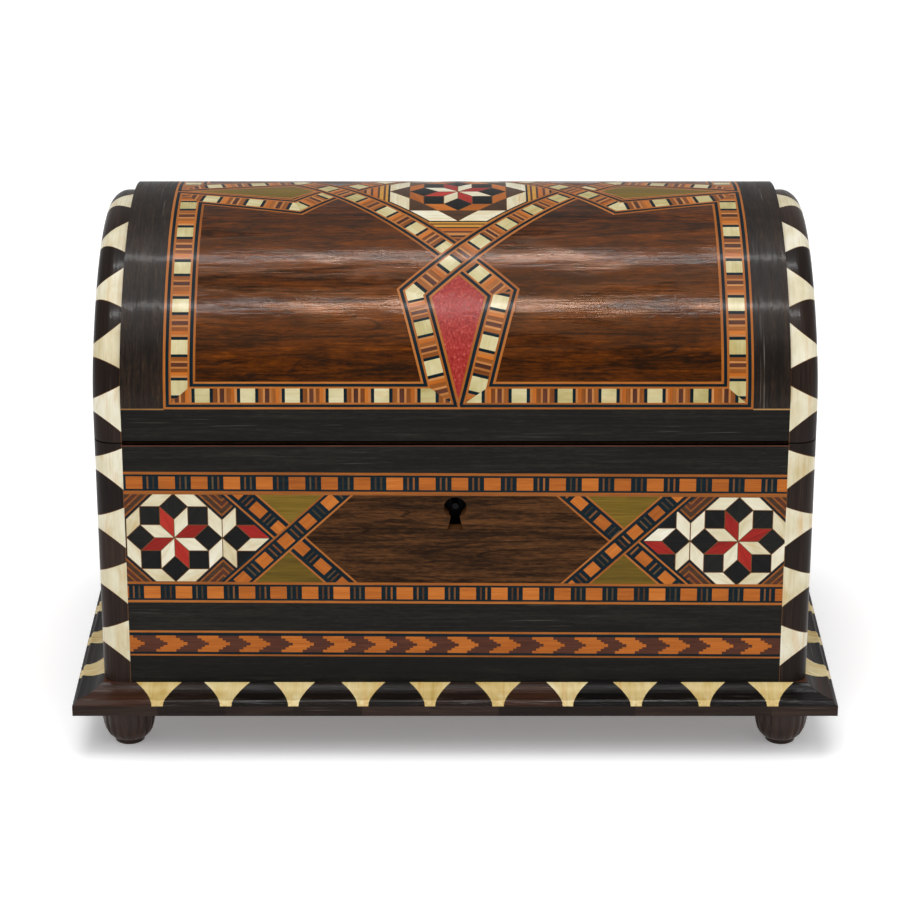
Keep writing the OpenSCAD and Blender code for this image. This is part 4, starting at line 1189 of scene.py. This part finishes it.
def plinth_edges():
    wide = [(0.0, 5.9), (0.13, 5.3), (0.33, 4.5), (0.53, 3.75), (0.67, 3.2), (0.8, 2.7), (1.0, 2.2)]
    edge_piece("plinth_edge_front_inlay", BODY_X, lambda x, o: (-x, -BODY_Y - o), "plinth_edge_front", 10, -2.2)
    edge_piece("plinth_edge_back_inlay", BODY_X, lambda x, o: (x, BODY_Y + o), "plinth_edge_back", 10)
    edge_piece("plinth_edge_right_inlay", BODY_Y, lambda x, o: (BODY_X + o, -x), "plinth_edge_right", 5, 2.0, 18.75, wide)
    edge_piece("plinth_edge_left_inlay", BODY_Y, lambda x, o: (-BODY_X - o, x), "plinth_edge_left", 5, -2.0, 18.75, wide)


# ---------------------------------------------------------------- half-moon veneers at the lid's ends
def end_outline(t, z0):
    """The lid end's outline, pulled in by t, from z0 up: points (y, z)."""
    pts = [(-BODY_Y + t, z0)]
    low = RIM - DROP
    for k in range(0, 13):
        p = WEDGE * k / 12
        pts.append((-YC - (R1 - t) * math.cos(p), low + BAND + (R1 - t) * math.sin(p)))
    for k in range(1, 41):
        p = WEDGE + (math.pi - 2 * WEDGE) * k / 40
        pts.append((-(R2 - t) * math.cos(p), low + BIG_Z + (R2 - t) * math.sin(p)))
    for k in range(1, 13):
        p = math.pi - WEDGE + WEDGE * k / 12
        pts.append((YC - (R1 - t) * math.cos(p), low + BAND + (R1 - t) * math.sin(p)))
    pts.append((BODY_Y - t, z0))
    return pts


def lid_ends():
    for sx, name in ((-1, "lid_end_left_inlay"), (1, "lid_end_right_inlay")):
        lay = Layout()
        star(lay, 0.0, 97.2, 3.5, "orange")
        octagon_rings(lay, [(0.0, 97.2)], 8.45, (("glue", 0.0), ("black", 0.5), ("line", 0.9)))
        t = SW + 4.2
        for mat, d, z in (("rosewood", 2.0, 2.0), ("line", 1.55, 1.55), ("black", 1.0, 1.0), ("line", 0.5, 0.5), ("ebony", -5.0, -6.0)):
            lay.add(mat, end_outline(t + d, LID_Z + 4.0 + z), 0.0, 0.5)
        outline = end_outline(SW, LID_Z)
        ob = plate(name, "lid", lay, outline,
                   lambda x, y, sx=sx: (sx * BODY_X, sx * x, y), lambda x, y, sx=sx: (sx * (BODY_X - SHEET), sx * x, y),
                   lambda x, y, sx=sx: (sx, 0, 0), (), ("lid_end_veneers",) if sx < 0 else ())
    return ob


# ---------------------------------------------------------------- feet
def feet():
    mat = wood("foot_rosewood", [(0.2, "#100804"), (0.45, "#231209"), (0.65, "#39200f"), (0.88, "#583319")], axis="Z", along=0.05,
               across=0.7, pores=0.4, bump=0.2, spec=0.2, coat=0.1)
    prof = [(0.0, 0.0), (3.2, 0.0), (3.5, 0.2), (3.5, 0.9), (3.42, 1.2), (4.35, 1.56), (5.05, 2.3), (5.65, 3.4), (6.05, 4.8),
            (6.3, 6.4), (6.36, 8.0), (6.15, 9.8), (5.6, 11.2), (5.2, 12.2), (0.0, 12.2)]
    reeds, per = 18, 8
    count = reeds * per
    for node in ("foot_front_left", "foot_front_right", "foot_back_left", "foot_back_right"):
        lo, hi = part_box(node)
        cx, cy = (lo.x + hi.x) / 2, (lo.y + hi.y) / 2
        verts, faces = [(cx, cy, prof[0][1] * MM)], []
        rings = prof[1:-1]
        for r, z in rings:
            depth = 0.4 * max(0.0, min(1.0, (z - 1.6) / 2.5, (11.1 - z) / 0.9))
            for k in range(count):
                th = 2 * math.pi * k / count
                groove = abs(math.cos(reeds * th / 2)) ** 6
                rr = r - depth * groove
                verts.append((cx + rr * MM * math.cos(th), cy + rr * MM * math.sin(th), z * MM))
        verts.append((cx, cy, prof[-1][1] * MM))
        for k in range(count):
            faces.append((0, 1 + (k + 1) % count, 1 + k))
        for j in range(len(rings) - 1):
            for k in range(count):
                a, b = 1 + j * count + k, 1 + j * count + (k + 1) % count
                faces.append((a, b, b + count, a + count))
        top = len(verts) - 1
        base = 1 + (len(rings) - 1) * count
        for k in range(count):
            faces.append((base + k, base + (k + 1) % count, top))
        me = bpy.data.meshes.new(node + "_turned")
        me.from_pydata(verts, [], faces)
        me.materials.append(mat)
        me.polygons.foreach_set("use_smooth", [True] * len(faces))
        me.update()
        ob = bpy.data.objects.new(node + "_turned", me)
        bpy.context.scene.collection.objects.link(ob)
        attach(ob, "case")
        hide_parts(node)


# ---------------------------------------------------------------- velvet linings
def velvet_pad(name, body, mat, origin, u, v, w, h, t, crown, nodes=(), wave=0.25, seed=1, hole=None):
    """A padded panel: w by h on its backing, its edges rounded over, crowned in the middle, with shallow uneven tufts."""
    r = random.Random(seed)
    bumps = [(r.uniform(0, w), r.uniform(0, h), r.uniform(0.12, 0.3) * min(w, h), r.uniform(-1, 1)) for _ in range(9)]
    O, U, V = Vector(origin), Vector(u).normalized(), Vector(v).normalized()
    Nn = U.cross(V)
    nx, ny = max(12, int(w / 2.2)), max(12, int(h / 2.2))
    verts, faces = [], []

    def lift(x, y):
        d = min(x, w - x, y, h - y)
        edge = math.sqrt(max(0.0, 1 - max(0.0, 1 - d / t) ** 2))
        c = math.sin(math.pi * x / w) ** 0.5 * math.sin(math.pi * y / h) ** 0.5 if 0 < x < w and 0 < y < h else 0
        s = sum(a * math.exp(-((x - bx) ** 2 + (y - by) ** 2) / (2 * q * q)) for bx, by, q, a in bumps)
        return max(0.05, edge * (t + crown * c + wave * s * c))

    def spread(n, length):
        """Closer lines near both edges."""
        return [length * (0.5 - 0.5 * math.cos(math.pi * i / n)) * 0.55 + length * i / n * 0.45 for i in range(n + 1)]
    xs, ys = spread(nx, w), spread(ny, h)
    for y in ys:
        for x in xs:
            verts.append(O + U * x + V * y + Nn * lift(x, y))
    base = len(verts)
    for y in ys:
        for x in xs:
            verts.append(O + U * x + V * y)
    row = nx + 1
    for j in range(ny):
        for i in range(nx):
            a = j * row + i
            faces.append((a, a + 1, a + row + 1, a + row))
            faces.append((base + a, base + a + row, base + a + row + 1, base + a + 1))
    for i in range(nx):
        a, b = i, i + 1
        faces.append((base + a, base + b, b, a))
        a, b = ny * row + i, ny * row + i + 1
        faces.append((a, b, base + b, base + a))
    for j in range(ny):
        a, b = j * row, (j + 1) * row
        faces.append((a, b, base + b, base + a))
        a, b = j * row + nx, (j + 1) * row + nx
        faces.append((base + a, base + b, b, a))
    me = bpy.data.meshes.new(name)
    me.from_pydata([tuple(p * MM) for p in verts], [], faces)
    me.materials.append(mat)
    me.polygons.foreach_set("use_smooth", [True] * len(faces))
    me.update()
    ob = bpy.data.objects.new(name, me)
    bpy.context.scene.collection.objects.link(ob)
    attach(ob, body)
    if nodes:
        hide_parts(*nodes)
    return ob


def linings():
    mat = cloth("crimson_velvet", "#2c0309", "#5c0a16", "#8c1c2a")
    lo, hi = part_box("well_floor_velvet")
    lo, hi = lo * 1000, hi * 1000
    velvet_pad("well_floor_pad", "case", mat, (lo.x + 1, lo.y + 1, lo.z), (1, 0, 0), (0, 1, 0), hi.x - lo.x - 2, hi.y - lo.y - 2,
               1.5, 1.1, ("well_floor_velvet",), 0.5, 3)
    z0, z1 = lo.z + 1.5, 75.4
    x0, x1, y0, y1 = lo.x, hi.x, lo.y, hi.y
    h = z1 - z0
    velvet_pad("well_left_lining", "case", mat, (x0, y0, z0), (0, 1, 0), (0, 0, 1), y1 - y0, h, 0.95, 0.25,
               ("well_wall_velvet",), 0.15, 4)
    velvet_pad("well_back_lining", "case", mat, (x0 + 1, y1, z0), (1, 0, 0), (0, 0, 1), x1 - x0 - 2, h, 0.95, 0.25, (), 0.15, 5)
    velvet_pad("well_right_lining", "case", mat, (x1, y1, z0), (0, -1, 0), (0, 0, 1), y1 - y0, 71 - z0, 0.95, 0.25, (), 0.15, 6)
    # the front lining is in two parts: one left of the lock, and one below it
    velvet_pad("well_front_lining_left", "case", mat, (-17.4, y0, z0), (-1, 0, 0), (0, 0, 1), -17.4 - x0 - 1, h, 0.95, 0.25, (), 0.15, 7)
    velvet_pad("well_front_lining_middle", "case", mat, (17.2, y0, z0), (-1, 0, 0), (0, 0, 1), 34.6, 52.4 - z0, 0.95, 0.2, (), 0.12, 8)
    lo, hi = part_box("cover_velvet")
    lo, hi = lo * 1000, hi * 1000
    velvet_pad("cover_pad", "cover", mat, (lo.x, lo.y, lo.z), (1, 0, 0), (0, 1, 0), hi.x - lo.x, hi.y - lo.y, 1.0, 0.5,
               ("cover_velvet",), 0.3, 9)
    # the lid's lining follows the inside of the crown
    lo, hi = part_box("lid_velvet")
    t0 = 6.0
    zmin = RIM + BAND
    r = R2 - t0
    p0 = None
    for k in range(0, 900):
        a = L1 + (L4 - L1) * k / 899
        y, z, ny, nz = dome(a)
        if z - nz * t0 >= zmin + 0.2:
            p0 = a
            break
    a0, a1 = p0, LT - p0
    w = PANEL_X * 2 - 0.4
    nx, na = 70, 64
    rr = random.Random(11)
    bumps = [(rr.uniform(0, w), rr.uniform(a0, a1), rr.uniform(9, 22), rr.uniform(-1, 1)) for _ in range(14)]
    verts, faces = [], []
    for layer in (0, 1):
        for j in range(na + 1):
            a = a0 + (a1 - a0) * j / na
            y, z, ny, nz = dome(a)
            for i in range(nx + 1):
                x = w * i / nx
                d = min(x, w - x, a - a0, a1 - a)
                edge = math.sqrt(max(0.0, 1 - max(0.0, 1 - d / 1.6) ** 2))
                s = sum(q * math.exp(-((x - bx) ** 2 + (a - ba) ** 2) / (2 * sg * sg)) for bx, ba, sg, q in bumps)
                deep = t0 + (edge * (0.9 + 0.12 * s) + 0.05 if layer else 0.0)
                verts.append(((x - w / 2) * MM, (y - ny * deep) * MM, (z - nz * deep) * MM))
    row = nx + 1
    base = row * (na + 1)
    for j in range(na):
        for i in range(nx):
            a = j * row + i
            faces.append((a, a + 1, a + row + 1, a + row))
            faces.append((base + a, base + a + row, base + a + row + 1, base + a + 1))
    for i in range(nx):
        faces.append((base + i, base + i + 1, i + 1, i))
        a = na * row + i
        faces.append((a, a + 1, base + a + 1, base + a))
    for j in range(na):
        a, b = j * row, (j + 1) * row
        faces.append((a, b, base + b, base + a))
        a, b = j * row + nx, (j + 1) * row + nx
        faces.append((base + a, base + b, b, a))
    me = bpy.data.meshes.new("lid_lining")
    me.from_pydata(verts, [], faces)
    me.materials.append(mat)
    me.polygons.foreach_set("use_smooth", [True] * len(faces))
    me.update()
    ob = bpy.data.objects.new("lid_lining", me)
    bpy.context.scene.collection.objects.link(ob)
    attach(ob, "lid")
    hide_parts("lid_velvet")


# ---------------------------------------------------------------- finishes of the CAD pieces
def paint(names, mat):
    for n in names:
        me = N[n].data
        me.materials.clear()
        me.materials.append(mat)
        me.polygons.foreach_set("material_index", [0] * len(me.polygons))


def finishes():
    walnut = dict(pores=0.4, warp=0.9, bump=0.15, coat=0.15, coat_rough=0.3, rough=(0.42, 0.62))
    stops = [(0.2, "#3a2413"), (0.42, "#5b3a20"), (0.6, "#75502e"), (0.85, "#93693f")]
    wx = wood("case_walnut_x", stops, axis="X", along=0.014, across=0.3, **walnut)
    wy = wood("case_walnut_y", stops, axis="Y", along=0.014, across=0.3, **walnut)
    wz = wood("case_walnut_z", stops, axis="Z", along=0.014, across=0.3, **walnut)
    pine = wood("base_wood_x", [(0.2, "#7d5530"), (0.45, "#9c7042"), (0.65, "#b48654"), (0.88, "#c69c6a")], axis="X", along=0.01,
                across=0.22, pores=0.3, warp=0.7, bump=0.12, coat=0.0, rough=(0.5, 0.7))
    dark = wood("plinth_wood_x", [(0.2, "#24140c"), (0.45, "#3a2114"), (0.65, "#50301d"), (0.88, "#6a4429")], axis="X", along=0.014,
                across=0.3, pores=0.4, bump=0.15, coat=0.2, rough=(0.4, 0.6))
    paint(["front_board", "back_board", "lid_front_rail", "lid_back_rail", "lid_crown_panel", "movement_cover"], wx)
    paint(["left_board", "right_board", "partition", "lid_left_end", "lid_right_end"], wy)
    paint(["cover_cleats"], wy)
    paint(["bottom_board"], pine)
    paint(["plinth_board"], dark)
    brass = metal("aged_brass", ("#80622c", "#b4945a", "#d6c08e"))
    paint(["hinge_body_leaves", "hinge_lid_leaves", "strike_plate", "cover_knob"], brass)
    # the lock case and bolt are near-black: partly an iron finish, partly painted shade so the keyhole reads dark
    # inside
    paint(["lock_case", "lock_bolt"], metal("lock_iron_with_painted_shade", ("#0c0c0d", "#161617", "#2a2928"), rough=(0.35, 0.55)))
    screw = metal("screw_brass", ("#7a5a20", "#b08c44", "#d2b26c"), rough=(0.22, 0.4))
    paint(["hinge_body_screws", "hinge_lid_screws", "lock_screws"], screw)
    steel = metal("bright_steel", ("#8c8c8c", "#b4b4b2", "#d4d4d2"), rough=(0.14, 0.3))
    blued = metal("spring_steel", ("#4c5260", "#70757e", "#9ba0a6"), rough=(0.2, 0.36))
    paint(["hinge_pins", "foot_screws", "movement_screws", "comb_screws", "stop_rod", "winding_arbor", "governor_fan"], steel)
    paint(["comb"], metal("comb_steel", ("#7c7e82", "#a6a8aa", "#cdcfd0"), rough=(0.16, 0.28), brushed=0.7, axis="Y"))
    paint(["mainspring"], blued)
    gilt = metal("movement_brass", ("#9a7226", "#cda552", "#ead08c"), rough=(0.16, 0.3), brushed=0.6)
    paint(["bedplate", "barrel_bridge", "train_brackets", "barrel", "pinned_cylinder", "governor_wheel"], gilt)
    paint(["winding_key"], metal("key_brass", ("#8a6420", "#c29a48", "#e0c078"), rough=(0.2, 0.34), axis="Z"))


front_sheet()
back_sheet()
side_sheet("right_marquetry_sheet", 1, "right_marquetry")
side_sheet("left_marquetry_sheet", -1, "left_marquetry")
lid_sheet()
corner_strips()
lid_strips()
plinth_edges()
lid_ends()
feet()
linings()
finishes()

# ---------------------------------------------------------------- floor, light and camera
floor_me = bpy.data.meshes.new("floor")
S = 3.0
floor_me.from_pydata([(-S, -S, 0), (S, -S, 0), (S, S, 0), (-S, S, 0)], [], [(0, 1, 2, 3)])
floor = bpy.data.objects.new("floor", floor_me)
bpy.context.scene.collection.objects.link(floor)
ft = Tree("floor_paper")
fv = ft.n("ShaderNodeTexCoord").outputs["Object"]
ft.link(ft.ramp(ft.noise(ft.scaled(fv, (6, 6, 6)), 1.0, 3.0), [(0.3, "#fbfbfb"), (0.7, "#ffffff")]), ft.b.inputs["Base Color"])
ft.b.inputs["Roughness"].default_value = 0.7
ft.b.inputs["Specular IOR Level"].default_value = 0.2
ft.b.inputs["Emission Color"].default_value = (1.0, 1.0, 1.0, 1.0)
ft.b.inputs["Emission Strength"].default_value = 0.2
floor_me.materials.append(ft.m)

world = bpy.data.worlds.new("studio")
bpy.context.scene.world = world
world.use_nodes = True
world.node_tree.nodes["Background"].inputs["Color"].default_value = (1.0, 1.0, 1.0, 1.0)
world.node_tree.nodes["Background"].inputs["Strength"].default_value = 0.52


def area_light(name, loc, target, size, power, strip=False, color=(1, 1, 1)):
    d = bpy.data.lights.new(name, "AREA")
    d.shape = "RECTANGLE"
    d.size, d.size_y = size
    d.energy = power
    d.color = color
    ob = bpy.data.objects.new(name, d)
    ob.location = loc
    ob.rotation_euler = (Vector(target) - Vector(loc)).to_track_quat("-Z", "Y").to_euler()
    # the soft lights shade the box; the two strips only give it its highlights
    ob.visible_glossy = strip
    ob.visible_diffuse = not strip
    bpy.context.scene.collection.objects.link(ob)
    return ob


mid_pt = (0, 0, 0.1)
area_light("key", (-0.3, -0.95, 1.55), mid_pt, (0.9, 0.9), 7.8)
area_light("fill", (0.9, -0.95, 1.25), mid_pt, (1.0, 1.0), 4.2)
area_light("top", (0.0, -0.32, 1.55), mid_pt, (0.9, 0.9), 10)
area_light("strip_front", (0.0, -0.31, 1.1), (0, -0.02, 0.12), (0.5, 0.04), 5.2, True)
area_light("strip_back", (0.0, 0.2, 1.1), (0, -0.01, 0.12), (0.5, 0.04), 4.4, True)

cam_data = bpy.data.cameras.new("photo_camera")
cam_data.lens = 129.68
cam_data.sensor_width = 36.0
cam = bpy.data.objects.new("photo_camera", cam_data)
cam.location = (-0.0012, -0.7424, 0.3517)
cam.rotation_euler = (math.radians(68.35), 0.0, 0.0)
bpy.context.scene.collection.objects.link(cam)
bpy.context.scene.camera = cam
bpy.context.scene.view_settings.view_transform = "Standard"
